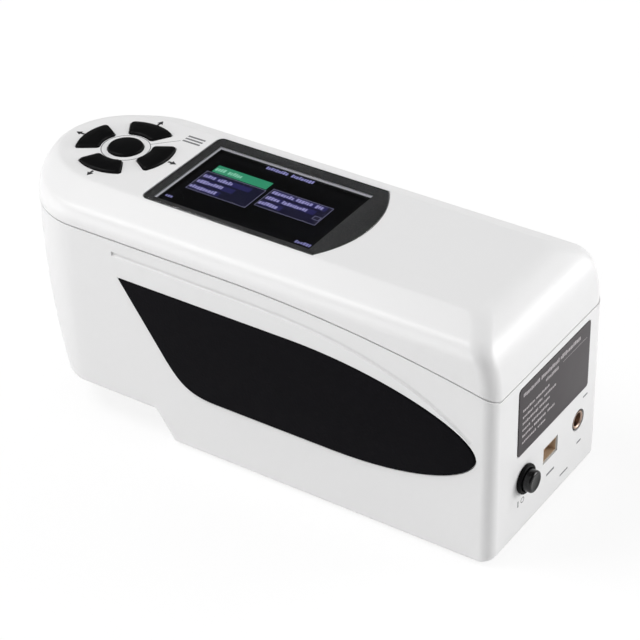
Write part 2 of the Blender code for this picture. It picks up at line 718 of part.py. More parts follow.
def cover_rings(wall, rise):
    """Levels of the cover's outside, or of its inside, from its top to a height over the parting line."""
    radius = SIDE_FILLET - wall
    shoulder = SIDE_CURVE_DEPTH - radius * math.cos(SHOULDER_ANGLE)
    depths = [wall + (shoulder - wall) * share for share in SHOULDER_SHARES]
    for i in range(1, FILLET_STEPS + 1):
        angle = SHOULDER_ANGLE + (math.pi / 2 - SHOULDER_ANGLE) * i / FILLET_STEPS
        depths.append(SIDE_CURVE_DEPTH - radius * math.cos(angle))
    rings = []
    for depth in depths:
        nose = curve_inset(depth, wall, NOSE_FILLET, NOSE_FILLET)
        port = curve_inset(depth, wall, PORT_CURVE_LENGTH, PORT_CURVE_HEIGHT)
        plan = half_plan(side_inset(depth, wall), nose, port, COVER_CORNER_RADIUS - wall)
        rings.append(body_ring(plan, lambda x, port, z=TOP_Z - depth: z))
    side_z = TOP_Z - SIDE_CURVE_DEPTH
    end_z = parting_z(PORT_END_X, 1.0) + rise
    for i in range(1, WALL_STEPS + 1):
        share = i / WALL_STEPS
        depth = TOP_Z - side_z - (end_z - side_z) * share
        port = curve_inset(depth, wall, PORT_CURVE_LENGTH, PORT_CURVE_HEIGHT)
        plan = half_plan(wall, wall, port, COVER_CORNER_RADIUS - wall)

        def height(x, port, share=share):
            return side_z + (parting_z(x, port) + rise - side_z) * share

        rings.append(body_ring(plan, height))
    return rings


def wall_ring(inset, rise, corner=COVER_CORNER_RADIUS):
    """A level of an upright wall, at a height over the parting line."""
    plan = half_plan(inset, inset, inset, corner - inset)
    return body_ring(plan, lambda x, port: parting_z(x, port) + rise)


def window_outline(grow):
    """Outline of the display window, with its bowed end, larger all round by a clearance."""
    half = WINDOW_WIDTH / 2
    left = WINDOW_X - grow
    right = WINDOW_END_X
    bow = (half * half + WINDOW_BULGE * WINDOW_BULGE) / (2 * WINDOW_BULGE)
    centre = right + WINDOW_BULGE - bow
    radius = bow + grow
    sweep = math.asin((half + grow) / radius)
    points = []
    for i in range(2 * CURVE_STEPS + 1):
        angle = sweep * (i / CURVE_STEPS - 1)
        points.append((centre + radius * math.cos(angle), radius * math.sin(angle)))
    corner = WINDOW_CORNER + grow
    for side, start in ((1, math.pi / 2), (-1, math.pi)):
        for i in range(CORNER_STEPS + 1):
            angle = start + math.pi / 2 * i / CORNER_STEPS
            x = left + corner + corner * math.cos(angle)
            points.append((x, side * (half + grow - corner) + corner * math.sin(angle)))
    return points


def grip_outline(grow):
    """Outline of a grip pad in X and Z, larger all round by a clearance."""
    start = NOSE_TIP_X + GRIP_START
    shares = [(0.0, 1.0)]
    for part in (GRIP_HEEL_SHARES, GRIP_SOLE_SHARES, GRIP_TOE_SHARES):
        shares += bezier(part)
    points = [(start + u * GRIP_LENGTH, FOOT_HEIGHT + GRIP_BOTTOM + v * GRIP_HEIGHT) for u, v in shares]
    unique = [p for p, q in zip(points, points[1:] + points[:1]) if math.dist(p, q) > FIT_GAP]
    grown = []
    for before, here, after in zip(unique[-1:] + unique[:-1], unique, unique[1:] + unique[:1]):
        step, next_step = math.dist(before, here), math.dist(here, after)
        entry = ((here[0] - before[0]) / step, (here[1] - before[1]) / step)
        leave = ((after[0] - here[0]) / next_step, (after[1] - here[1]) / next_step)
        scale = grow / (1 + entry[0] * leave[0] + entry[1] * leave[1])
        grown.append((here[0] - scale * (entry[1] + leave[1]), here[1] + scale * (entry[0] + leave[0])))
    return grown


def key_places():
    """The four arc keys, by name, with the way each one lies from the centre key."""
    return (("key_right", 0.0), ("key_up", math.pi / 2), ("key_left", math.pi), ("key_down", -math.pi / 2))


def arc_key_outline(grow):
    """Outline of an arc key, larger all round by a clearance."""
    half_angle = ARC_KEY_HALF_ANGLE + grow / ARC_KEY_OUTER
    return sector(ARC_KEY_INNER - grow, ARC_KEY_OUTER + grow, half_angle, ARC_KEY_CORNER)


def case_screw_places():
    """Plan places of the four case screws."""
    stations = (NOSE_TIP_X + CASE_SCREW_FRONT, PORT_END_X - CASE_SCREW_TO_PORT)
    return [(x, side * CASE_SCREW_Y) for x in stations for side in (-1, 1)]


def key_post_places():
    """Plan places of the key board's two screws, across a diagonal."""
    radius = ARC_KEY_OUTER + KEY_POST_REACH
    return round_places(KEY_X, radius, 2, KEY_POST_ANGLE)


def main_post_places():
    """Plan places of the main board's two screws, across a diagonal."""
    y = MAIN_BOARD_WIDTH / 2 - MAIN_POST_SIDE_MARGIN
    return [(DISPLAY_END_X + MAIN_POST_GAP, -y), (MAIN_BOARD_X + MAIN_BOARD_LENGTH - MAIN_POST_END_MARGIN, y)]


def round_places(centre_x, radius, count, start=0.0):
    """Plan places round the optical axis."""
    angles = [start + 2 * math.pi * i / count for i in range(count)]
    return [(centre_x + radius * math.cos(a), radius * math.sin(a)) for a in angles]


def sphere_screw_places():
    """Plan places of the screws in the sphere's flange."""
    radius = SPHERE_FLANGE_RADIUS - SPHERE_SCREW_MARGIN
    return round_places(OPTICS_X, radius, SPHERE_SCREW_COUNT, SPHERE_SCREW_TURN)


def foot_places():
    """Plan places of the feet."""
    stations = (NOSE_TIP_X + FOOT_FRONT, PORT_END_X - FOOT_TO_PORT)
    return [(x, side * FOOT_Y) for x in stations for side in (-1, 1)]


def screw(head, shank, socket):
    """A cap screw that points up from the underside of its head, with a blind round socket."""
    head_radius, head_height = head
    shank_radius, shank_length = shank
    profile = (
        (0.0, head_height / 2),
        (socket, head_height / 2),
        (socket, 0.0),
        (head_radius, 0.0),
        (head_radius, head_height),
        (shank_radius, head_height),
        (shank_radius, head_height + shank_length),
        (0.0, head_height + shank_length),
    )
    shape = bmesh.new()
    add_turned(shape, profile, steps=SMALL_STEPS)
    return shape


def make_top_cover(surface):
    """Upper moulding, a thin shell with bosses for the case, key board and main board screws."""
    rebate = WALL - LIP_THICKNESS - FIT_GAP
    rebate_rise = FIT_GAP + LIP_HEIGHT + FIT_GAP
    rings = cover_rings(0.0, FIT_GAP)
    rings += [wall_ring(rebate, FIT_GAP), wall_ring(rebate, rebate_rise)]
    rings += cover_rings(WALL, rebate_rise)[::-1]
    body = bmesh.new()
    shell(body, rings)
    cover = place("top_cover", body, surface)

    bosses = bmesh.new()
    boss_bottom = PILLAR_Z + FIT_GAP
    for spot in case_screw_places():
        add_cylinder(bosses, BOSS_RADIUS, boss_bottom, TOP_Z - BOSS_TOP_DEPTH, spot)
    for spot in key_post_places():
        add_cylinder(bosses, KEY_POST_RADIUS, KEY_BOARD_TOP_Z + FIT_GAP, TOP_Z - KEY_POST_TOP_DEPTH, spot)
    for spot in main_post_places():
        add_cylinder(bosses, MAIN_POST_RADIUS, MAIN_BOARD_TOP_Z + FIT_GAP, TOP_Z - MAIN_POST_TOP_DEPTH, spot)
    join(cover, "cover_bosses", bosses)

    holes = bmesh.new()
    outline = window_outline(FIT_GAP)
    stack(holes, ((TOP_Z - WINDOW_POCKET, outline), (TOP_Z + CUT_OVERRUN, outline)))
    for name, angle in key_places():
        outline = moved_outline(turned_outline(arc_key_outline(FIT_GAP), angle), KEY_X, 0.0)
        stack(holes, ((CEILING_Z - CUT_OVERRUN, outline), (TOP_Z + CUT_OVERRUN, outline)))
    low, high = CEILING_Z - CUT_OVERRUN, TOP_Z + CUT_OVERRUN
    add_cylinder(holes, MENU_KEY_RADIUS + FIT_GAP, low, high, (KEY_X, 0.0), steps=RADIAL_STEPS)
    case_pilot = CASE_SCREW_RADIUS + FIT_GAP
    pilot_top = CASE_SCREW_SEAT_Z + CASE_SCREW_LENGTH + FIT_GAP
    for spot in case_screw_places():
        add_cylinder(holes, case_pilot, boss_bottom - CUT_OVERRUN, pilot_top, spot)
    board_pilot = BOARD_SCREW_RADIUS + FIT_GAP
    for spot in key_post_places():
        top = KEY_BOARD_Z - FIT_GAP + BOARD_SCREW_LENGTH + FIT_GAP
        add_cylinder(holes, board_pilot, KEY_BOARD_TOP_Z, top, spot)
    for spot in main_post_places():
        top = MAIN_BOARD_Z - FIT_GAP + BOARD_SCREW_LENGTH + FIT_GAP
        add_cylinder(holes, board_pilot, MAIN_BOARD_TOP_Z, top, spot)
    cut(cover, "cover_holes", holes)

    sight = bmesh.new()
    half_x, half_y = SIGHT_LENGTH / 2, SIGHT_WIDTH / 2
    low = (DISPLAY_X - half_x, -SIGHT_OFFSET - half_y, CEILING_Z - CUT_OVERRUN)
    add_box(sight, low, (DISPLAY_X + half_x, -SIGHT_OFFSET + half_y, TOP_Z))
    cut(cover, "cover_sight", sight)


def case_ring(inset, nose, port, height):
    """A level of the case's outside."""
    return body_ring(half_plan(inset, nose, port, CASE_CORNER_RADIUS), height)


def case_shape():
    """The case's shell, from its floor inside, over the lip, to its filleted underside."""
    inner_corner = CASE_CORNER_RADIUS - WALL
    floor = half_plan(WALL, WALL + nose_rake(NOSE_FLOOR_Z), WALL, inner_corner)
    rings = [body_ring(floor, lambda x, port: underside_z(x) + WALL)]
    step = (LEVEL_TOP_Z - NOSE_FLOOR_Z) / LEVEL_STEPS
    levels = [NOSE_FLOOR_Z + step * i for i in range(1, LEVEL_STEPS + 1)]
    for level in levels:
        plan = half_plan(WALL, WALL + nose_rake(level), WALL, inner_corner)
        rings.append(body_ring(plan, lambda x, port, z=level: z))
    lip = WALL - LIP_THICKNESS
    rings += [wall_ring(WALL, LIP_HEIGHT), wall_ring(lip, LIP_HEIGHT)]
    rings += [wall_ring(lip, 0.0), wall_ring(0.0, 0.0, CASE_CORNER_RADIUS)]
    for level in levels[::-1]:
        rings.append(case_ring(0.0, nose_rake(level), 0.0, lambda x, port, z=level: z))
    for i in range(BOTTOM_STEPS + 1):
        angle = math.pi / 2 * i / BOTTOM_STEPS
        inwards, upwards = 1 - math.cos(angle), 1 - math.sin(angle)
        nose = BOTTOM_FILLET * inwards + nose_rake(NOSE_UNDERSIDE_Z + BOTTOM_FILLET * upwards)

        def height(x, port, upwards=upwards):
            return underside_z(x) + upwards * (BOTTOM_FILLET + (END_FILLET - BOTTOM_FILLET) * port)

        rings.append(case_ring(BOTTOM_FILLET * inwards, nose, END_FILLET * inwards, height))
    body = bmesh.new()
    shell(body, rings)
    return body


def add_case_supports(case):
    """Screw pillars, battery bay, board ribs and the measuring switch's posts, moulded in the case."""
    supports = bmesh.new()
    for x, y in case_screw_places():
        add_cylinder(supports, PILLAR_RADIUS, underside_z(x) + WALL / 2, PILLAR_Z, (x, y), steps=16)
    half = BAY_WIDTH / 2 + BAY_WALL
    low = (BAY_X - BAY_WALL, -half, FLOOR_Z - WALL / 2)
    high = (BAY_END_X + BAY_WALL, half, BAY_TOP_Z + BAY_WALL)
    add_box(supports, low, high)
    rib_high = FLOOR_Z + PORT_RIB_HEIGHT
    for x in (PORT_BOARD_X - FIT_GAP - PORT_RIB_THICKNESS, PORT_BOARD_X + BOARD_THICKNESS + FIT_GAP):
        low = (x, PORT_BOARD_Y, FLOOR_Z - WALL / 2)
        add_box(supports, low, (x + PORT_RIB_THICKNESS, PORT_BOARD_END_Y, rib_high))
    for side in (-1, 1):
        centre = (MEASURE_X + side * MEASURE_POST_SPACING / 2, MEASURE_Z)
        post_y = MEASURE_BOARD_Y + FIT_GAP
        peg_y = MEASURE_BOARD_Y - MEASURE_BOARD_THICKNESS - FIT_GAP
        profile = (
            (0.0, peg_y),
            (MEASURE_PEG_RADIUS, peg_y),
            (MEASURE_PEG_RADIUS, post_y),
            (MEASURE_POST_RADIUS, post_y),
            (MEASURE_POST_RADIUS, SIDE_Y - WALL / 2),
            (0.0, SIDE_Y - WALL / 2),
        )
        add_turned(supports, profile, centre, "Y", SMALL_STEPS)
    join(case, "case_supports", supports)

    frame = bmesh.new()
    half = BAY_WIDTH / 2 + DOOR_FRAME_MARGIN
    low = (STEP_FOOT_X, -half, FLOOR_Z - WALL / 2)
    high = (DOOR_END_X + DOOR_FRAME_THICKNESS, half, FOOT_HEIGHT + DOOR_FRAME_THICKNESS)
    add_box(frame, low, high)
    join(case, "case_door_frame", frame)


def cut_case_openings(case):
    """Round holes, port end openings, grip recesses and grooves of the case."""
    holes = bmesh.new()
    seat = CASE_SCREW_SEAT_Z
    for x, y in case_screw_places():
        head = CASE_SCREW_HEAD_RADIUS + FIT_GAP
        shank = CASE_SCREW_RADIUS + FIT_GAP
        low = underside_z(x) - CUT_OVERRUN
        high = PILLAR_Z + CUT_OVERRUN
        profile = ((0.0, low), (head, low), (head, seat), (shank, seat), (shank, high), (0.0, high))
        add_turned(holes, profile, (x, y), steps=SMALL_STEPS)
    low, high = NOSE_UNDERSIDE_Z - CUT_OVERRUN, NOSE_FLOOR_Z + CUT_OVERRUN
    add_cylinder(holes, PORT_NECK_RADIUS + FIT_GAP, low, high, (OPTICS_X, 0.0), steps=RADIAL_STEPS)
    for spot in round_places(OPTICS_X, PORT_SCREW_CIRCLE, PORT_SCREW_COUNT):
        add_cylinder(holes, PORT_SCREW_RADIUS + FIT_GAP, low, high, spot)
    for spot in foot_places():
        add_cylinder(holes, FOOT_RADIUS + FIT_GAP, -CUT_OVERRUN, FOOT_HEIGHT + FOOT_RECESS, spot, steps=16)
    low, high = SIDE_Y - WALL - CUT_OVERRUN, SIDE_Y + CUT_OVERRUN
    add_cylinder(holes, MEASURE_RADIUS + FIT_GAP, low, high, (MEASURE_X, MEASURE_Z), "Y", RADIAL_STEPS)
    low, high = PORT_INNER_X - CUT_OVERRUN, PORT_END_X + CUT_OVERRUN
    add_cylinder(holes, JACK_NOSE_RADIUS + FIT_GAP, low, high, (JACK_Y, SOCKET_Z), "X", RADIAL_STEPS)
    add_cylinder(holes, POWER_NECK_RADIUS + FIT_GAP, low, high, (POWER_Y, SOCKET_Z), "X", RADIAL_STEPS)
    spot = (CONTACT_X + CONTACT_THICKNESS / 2, 0.0)
    add_cylinder(holes, LEAD_RADIUS + FIT_GAP, BAY_TOP_Z - BAY_WALL, BAY_TOP_Z + BAY_WALL + CUT_OVERRUN, spot)
    half_y, half_z = DATA_WIDTH / 2 + FIT_GAP, DATA_HEIGHT / 2 + FIT_GAP
    add_box(holes, (low, DATA_Y - half_y, SOCKET_Z - half_z), (high, DATA_Y + half_y, SOCKET_Z + half_z))
    outline = plate_outline(FIT_GAP)
    stack(holes, ((PORT_END_X - PLATE_RECESS, outline), (PORT_END_X + CUT_OVERRUN, outline)), "X")
    outline = grip_outline(FIT_GAP)
    for side in (-1, 1):
        inner, outer = side * (SIDE_Y - GRIP_RECESS), side * (SIDE_Y + CUT_OVERRUN)
        stack(holes, ((inner, outline), (outer, outline)), "Y")
    cut(case, "case_holes", holes)

    grooves = bmesh.new()
    for side in (-1, 1):
        add_groove(grooves, side)
    cut(case, "case_grooves", grooves)


def plate_outline(grow):
    """Outline of the rating plate in Y and Z."""
    half = SIDE_Y - PLATE_MARGIN + grow
    low = (PLATE_CENTRE_Y - half, FOOT_HEIGHT + PLATE_BOTTOM - grow)
    high = (PLATE_CENTRE_Y + half, TOP_Z - PLATE_TO_TOP + grow)
    return rectangle(low, high, PLATE_CORNER + grow)


def add_groove(shape, side):
    """A round bar that lies in a side's surface along the groove over the grip."""
    start = NOSE_TIP_X + GRIP_START
    shares = bezier(GROOVE_LEAD_SHARES, CURVE_STEPS // 2) + bezier(GROOVE_TAIL_SHARES)[1:]
    path = [(start + u * GRIP_LENGTH, FOOT_HEIGHT + GRIP_BOTTOM + v * GRIP_HEIGHT) for u, v in shares]
    rings = []
    for i, (x, z) in enumerate(path):
        before, after = path[max(0, i - 1)], path[min(len(path) - 1, i + 1)]
        dx, dz = after[0] - before[0], after[1] - before[1]
        length = math.hypot(dx, dz)
        ring = []
        for u, v in circle(GROOVE_RADIUS, steps=8):
            ring.append(shape.verts.new((x - v * dz / length, side * SIDE_Y + u, z + v * dx / length)))
        rings.append(ring)
    for first, second in zip(rings, rings[1:]):
        for j in range(len(first)):
            k = (j + 1) % len(first)
            shape.faces.new((first[j], first[k], second[k], second[j]))
    shape.faces.new(rings[0])
    shape.faces.new(rings[-1])


def cut_battery_bay(case):
    """Battery cavity, open below, and the door's pocket with a groove for a rail on each side."""
    cavity = bmesh.new()
    half = BAY_WIDTH / 2
    add_box(cavity, (BAY_X, -half, FOOT_HEIGHT), (BAY_END_X, half, BAY_TOP_Z))
    cut(case, "case_battery_cavity", cavity)

    pocket = bmesh.new()
    half = BAY_WIDTH / 2 + FIT_GAP
    rear = DOOR_END_X + FIT_GAP
    add_box(pocket, (STEP_TOP_X, -half, -CUT_OVERRUN), (rear, half, POCKET_Z))
    cut(case, "case_door_pocket", pocket)

    grooves = bmesh.new()
    rail = DOOR_Z + DOOR_THICKNESS * DOOR_RAIL_SHARE
    outer = BAY_WIDTH / 2 + DOOR_RAIL_REACH + FIT_GAP
    high = rail + DOOR_RAIL_THICKNESS + FIT_GAP
    add_box(grooves, (STEP_TOP_X, -outer, rail - FIT_GAP), (rear, outer, high))
    cut(case, "case_door_grooves", grooves)


def make_lower_case(surface):
    """Lower moulding, with its floor, its pillars and every opening of the sides and underside."""
    case = place("lower_case", case_shape(), surface)
    add_case_supports(case)
    cut_battery_bay(case)
    cut_case_openings(case)


def make_grips(surface):
    """Rubber pads bonded in the recesses of both sides."""
    outline = grip_outline(0.0)
    middle = (NOSE_TIP_X + GRIP_START + GRIP_LENGTH / 2, FOOT_HEIGHT + GRIP_BOTTOM + GRIP_HEIGHT / 2)
    local = [(x - middle[0], z - middle[1]) for x, z in outline]
    for name, side in (("grip_near", -1), ("grip_far", 1)):
        pad = bmesh.new()
        stack(pad, ((0.0, local), (side * GRIP_THICKNESS, local)), "Y")
        seat = side * (SIDE_Y - GRIP_RECESS + FIT_GAP)
        obj = place(name, pad, surface, (middle[0], seat, middle[1]))
        round_edges(obj, GRIP_EDGE)


def make_display(finishes):
    """Window, gasket, display frame and panel, and the ribbon to the main board."""
    window = bmesh.new()
    outline = window_outline(0.0)
    bottom = TOP_Z - WINDOW_POCKET + FIT_GAP
    stack(window, ((bottom, outline), (bottom + WINDOW_THICKNESS, outline)))
    place("display_window", window, finishes["black glass"])

    half_x, half_y = SIGHT_LENGTH / 2 + GASKET_RIM, SIGHT_WIDTH / 2 + GASKET_RIM
    gasket = bmesh.new()
    add_box(gasket, (-half_x, -half_y, -GASKET_THICKNESS), (half_x, half_y, 0.0))
    obj = place("window_gasket", gasket, finishes["foam"], (DISPLAY_X, -SIGHT_OFFSET, GASKET_TOP_Z))
    half_x, half_y = SIGHT_LENGTH / 2, SIGHT_WIDTH / 2
    opening = bmesh.new()
    add_box(opening, (-half_x, -half_y, -CUT_OVERRUN), (half_x, half_y, CUT_OVERRUN))
    cut(obj, "gasket_opening", opening, (DISPLAY_X, -SIGHT_OFFSET, GASKET_TOP_Z))

    centre = (DISPLAY_X, -SIGHT_OFFSET, DISPLAY_TOP_Z)
    frame = bmesh.new()
    half_x, half_y = DISPLAY_LENGTH / 2, DISPLAY_WIDTH / 2
    add_box(frame, (-half_x, -half_y, -DISPLAY_THICKNESS), (half_x, half_y, 0.0))
    obj = place("display_frame", frame, finishes["bright metal"], centre)
    seat = bmesh.new()
    half_x, half_y = PANEL_LENGTH / 2 + FIT_GAP, PANEL_WIDTH / 2 + FIT_GAP
    add_box(seat, (-half_x, -half_y, -PANEL_THICKNESS - FIT_GAP), (half_x, half_y, CUT_OVERRUN))
    cut(obj, "display_seat", seat, centre)

    panel = bmesh.new()
    half_x, half_y = PANEL_LENGTH / 2, PANEL_WIDTH / 2
    add_box(panel, (-half_x, -half_y, -PANEL_THICKNESS), (half_x, half_y, 0.0))
    place("display_panel", panel, finishes["black glass"], centre)

    ribbon = bmesh.new()
    start_x = DISPLAY_END_X + FIT_GAP
    start_z = DISPLAY_BOTTOM_Z + RIBBON_RISE
    end_z = MAIN_BOARD_TOP_Z + FIT_GAP + RIBBON_THICKNESS / 2
    control = (
        (start_x, start_z),
        (start_x + RIBBON_REACH / 2, start_z),
        (start_x + RIBBON_REACH / 2, end_z),
        (start_x + RIBBON_REACH, end_z),
    )
    line = bezier(control)
    half = RIBBON_THICKNESS / 2
    outline = [(x, z + half) for x, z in line] + [(x, z - half) for x, z in line[::-1]]
    stack(ribbon, ((-RIBBON_WIDTH / 2, outline), (RIBBON_WIDTH / 2, outline)), "Y")
    place("display_ribbon", ribbon, finishes["ribbon"])


def key_section(outline_of, edge_of, plunger):
    """Levels of a key from its plunger to its crown."""
    crown = TOP_Z + KEY_RISE
    return (
        (KEY_PLUNGER_Z, plunger),
        (KEY_FLANGE_Z, plunger),
        (KEY_FLANGE_Z, outline_of(KEY_FLANGE_REACH)),
        (KEY_FLANGE_TOP_Z, outline_of(KEY_FLANGE_REACH)),
        (KEY_FLANGE_TOP_Z, outline_of(0.0)),
        (crown - KEY_EDGE, outline_of(0.0)),
        (crown, edge_of(-KEY_EDGE)),
    )


def make_keys(finishes):
    """Centre key and four arc keys, the silicone mat under them and their board."""
    centre = (KEY_X, 0.0, TOP_Z)
    middle = (ARC_KEY_INNER + ARC_KEY_OUTER) / 2
    spread = KEY_PLUNGER_RADIUS / middle
    plunger = sector(middle - KEY_PLUNGER_RADIUS, middle + KEY_PLUNGER_RADIUS, spread, KEY_PLUNGER_RADIUS / 3)
    for name, angle in key_places():
        key = bmesh.new()
        levels = key_section(arc_key_outline, arc_key_outline, plunger)
        stack(key, [(z - TOP_Z, turned_outline(outline, angle)) for z, outline in levels])
        place(name, key, finishes["black plastic"], centre)
    key = bmesh.new()
    levels = key_section(
        lambda grow: circle(MENU_KEY_RADIUS + grow),
        lambda grow: circle(MENU_KEY_RADIUS + grow),
        circle(KEY_PLUNGER_RADIUS),
    )
    stack(key, [(z - TOP_Z, outline) for z, outline in levels])
    place("key_menu", key, finishes["black plastic"], centre)

    mat = bmesh.new()
    add_cylinder(mat, KEY_MAT_RADIUS, -KEY_MAT_THICKNESS, 0.0, steps=RADIAL_STEPS)
    obj = place("key_mat", mat, finishes["silicone"], (KEY_X, 0.0, KEY_MAT_TOP_Z))
    domes = bmesh.new()
    spots = [(0.0, 0.0)] + [(middle * math.cos(a), middle * math.sin(a)) for name, a in key_places()]
    for x, y in spots:
        low, high = KEY_MAT_TOP_Z - KEY_MAT_THICKNESS / 2, KEY_DOME_Z
        add_cylinder(domes, KEY_DOME_RADIUS, low, high, (KEY_X + x, y))
    join(obj, "key_domes", domes)

    board = bmesh.new()
    half_x, half_y = ARC_KEY_OUTER + KEY_BOARD_REACH_X, ARC_KEY_OUTER + KEY_BOARD_REACH_Y
    outline = rectangle((-half_x, -half_y), (half_x, half_y), KEY_BOARD_CORNER)
    stack(board, ((0.0, outline), (KEY_BOARD_THICKNESS, outline)))
    obj = place("key_board", board, finishes["board"], (KEY_X + KEY_BOARD_OFFSET, 0.0, KEY_BOARD_Z))
    holes = bmesh.new()
    low, high = KEY_BOARD_Z - CUT_OVERRUN, KEY_BOARD_TOP_Z + CUT_OVERRUN
    for spot in key_post_places():
        add_cylinder(holes, BOARD_SCREW_RADIUS + FIT_GAP, low, high, spot)
    cut(obj, "key_board_holes", holes)


def make_main_board(finishes):
    """Main board with the parts and the sounder on its underside, and the screws of both boards."""
    board = bmesh.new()
    half = MAIN_BOARD_WIDTH / 2
    add_box(board, (0.0, -half, 0.0), (MAIN_BOARD_LENGTH, half, BOARD_THICKNESS))
    obj = place("main_board", board, finishes["board"], (MAIN_BOARD_X, 0.0, MAIN_BOARD_Z))
    parts = bmesh.new()
    middle = MAIN_BOARD_Z + BOARD_THICKNESS / 2
    for (share_x, share_y), (length, width, height) in zip(CHIP_START_SHARES, CHIP_SIZES):
        x = MAIN_BOARD_X + share_x * MAIN_BOARD_LENGTH
        y = (share_y - 1 / 2) * MAIN_BOARD_WIDTH
        add_box(parts, (x, y, MAIN_BOARD_Z - height), (x + length, y + width, middle))
    profile = (
        (0.0, MAIN_BOARD_Z - SOUNDER_HEIGHT / 2),
        (SOUNDER_BORE, MAIN_BOARD_Z - SOUNDER_HEIGHT / 2),
        (SOUNDER_BORE, MAIN_BOARD_Z - SOUNDER_HEIGHT),
        (SOUNDER_RADIUS, MAIN_BOARD_Z - SOUNDER_HEIGHT),
        (SOUNDER_RADIUS, middle),
        (0.0, middle),
    )
    add_turned(parts, profile, (MAIN_BOARD_X + SOUNDER_SHARE * MAIN_BOARD_LENGTH, 0.0), steps=16)
    join(obj, "main_board_parts", parts)
    holes = bmesh.new()
    for spot in main_post_places():
        low, high = MAIN_BOARD_Z - CUT_OVERRUN, MAIN_BOARD_TOP_Z + CUT_OVERRUN
        add_cylinder(holes, BOARD_SCREW_RADIUS + FIT_GAP, low, high, spot)
    cut(obj, "main_board_holes", holes)

    head = (BOARD_SCREW_HEAD_RADIUS, BOARD_SCREW_HEAD_HEIGHT)
    shank = (BOARD_SCREW_RADIUS, BOARD_SCREW_LENGTH)
    boards = (
        ("key_board_screw", key_post_places(), KEY_BOARD_Z),
        ("main_board_screw", main_post_places(), MAIN_BOARD_Z),
    )
    for name, places, board_z in boards:
        head_z = board_z - FIT_GAP - BOARD_SCREW_HEAD_HEIGHT
        spots = [(x, y, head_z) for x, y in places]
        place_copies(name, screw(head, shank, BOARD_SCREW_SOCKET), finishes["steel"], spots)


def make_battery(finishes):
    """Battery pack, its contact block, its lead to the main board and its sliding door."""
    pack = bmesh.new()
    half = BAY_WIDTH / 2 - FIT_GAP
    height = BAY_HEIGHT - BATTERY_HEADROOM
    length = CONTACT_X - LEAF_DEPTH - FIT_GAP - BAY_X - FIT_GAP
    outline = rectangle((-half, 0.0), (half, height), height / 4)
    stack(pack, ((0.0, outline), (length, outline)), "X")
    place("battery_pack", pack, finishes["battery wrap"], (BAY_X + FIT_GAP, 0.0, POCKET_Z))

    block = bmesh.new()
    half = CONTACT_WIDTH / 2
    add_box(block, (0.0, -half, 0.0), (CONTACT_THICKNESS, half, CONTACT_HEIGHT))
    obj = place("battery_contacts", block, finishes["brass"], (CONTACT_X, 0.0, POCKET_Z))
    leaves = bmesh.new()
    pitch = CONTACT_WIDTH / LEAF_COUNT
    for i in range(LEAF_COUNT):
        y = pitch * (i + 1 / 2) - half
        low = (CONTACT_X - LEAF_DEPTH, y - LEAF_WIDTH / 2, POCKET_Z + CONTACT_HEIGHT / 4)
        high = (CONTACT_X + LEAF_DEPTH, y + LEAF_WIDTH / 2, POCKET_Z + CONTACT_HEIGHT * 3 / 4)
        add_box(leaves, low, high)
    join(obj, "battery_leaves", leaves)

    start = (CONTACT_X + CONTACT_THICKNESS / 2, 0.0, POCKET_Z + CONTACT_HEIGHT + FIT_GAP)
    plug = len(CHIP_SIZES) - 1
    plug_x = MAIN_BOARD_X + CHIP_START_SHARES[plug][0] * MAIN_BOARD_LENGTH + CHIP_SIZES[plug][0] / 2
    plug_y = (CHIP_START_SHARES[plug][1] - 1 / 2) * MAIN_BOARD_WIDTH + CHIP_SIZES[plug][1] / 2
    end = (plug_x, plug_y, MAIN_BOARD_Z - CHIP_SIZES[plug][2] - FIT_GAP)
    line = bpy.data.curves.new("battery_lead", "CURVE")
    line.dimensions = "3D"
    line.bevel_depth = LEAD_RADIUS
    line.bevel_resolution = 2
    line.use_fill_caps = True
    line.materials.append(finishes["lead"])
    spline = line.splines.new("POLY")
    spline.points.add(LEAD_POINTS - 1)
    rise = BAY_TOP_Z + BAY_WALL + LEAD_RISE
    for i in range(LEAD_POINTS):
        t = i / (LEAD_POINTS - 1)
        z = start[2] + (end[2] - start[2]) * t
        share = min(1.0, max(0.0, (z - rise) / (end[2] - LEAD_RISE - rise)))
        bend = share * share * (3 - 2 * share)
        x = start[0] + (end[0] - start[0]) * bend
        y = start[1] + (end[1] - start[1]) * bend
        spline.points[i].co = (x, y, z, 1.0)
    lead = bpy.data.objects.new("battery_lead", line)
    bpy.context.scene.collection.objects.link(lead)

    make_battery_door(finishes["white plastic"])


def make_battery_door(surface):
    """Door that slides towards the nose on two rails, with ridges for a thumb."""
    door = bmesh.new()
    half = BAY_WIDTH / 2
    add_box(door, (0.0, -half, 0.0), (DOOR_END_X - DOOR_X, half, DOOR_THICKNESS))
    obj = place("battery_door", door, surface, (DOOR_X, 0.0, DOOR_Z))
    rails = bmesh.new()
    reach = half + DOOR_RAIL_REACH
    low = DOOR_Z + DOOR_THICKNESS * DOOR_RAIL_SHARE
    add_box(rails, (DOOR_X, -reach, low), (DOOR_END_X, reach, low + DOOR_RAIL_THICKNESS))
    join(obj, "door_rails", rails)
    ridges = bmesh.new()
    for i in range(DOOR_RIDGE_COUNT):
        x = DOOR_END_X - DOOR_RIDGE_WIDTH * 2 * (i + 2)
        half = DOOR_RIDGE_LENGTH / 2
        add_box(ridges, (x, -half, 0.0), (x + DOOR_RIDGE_WIDTH, half, DOOR_Z + DOOR_RIDGE_DEPTH))
    cut(obj, "door_ridges", ridges)


def make_feet(surface):
    """Rubber feet in shallow recesses."""
    foot = bmesh.new()
    add_cylinder(foot, FOOT_RADIUS, 0.0, FOOT_HEIGHT + FOOT_RECESS - FIT_GAP, steps=16)
    place_copies("foot", foot, surface, [(x, y, 0.0) for x, y in foot_places()])


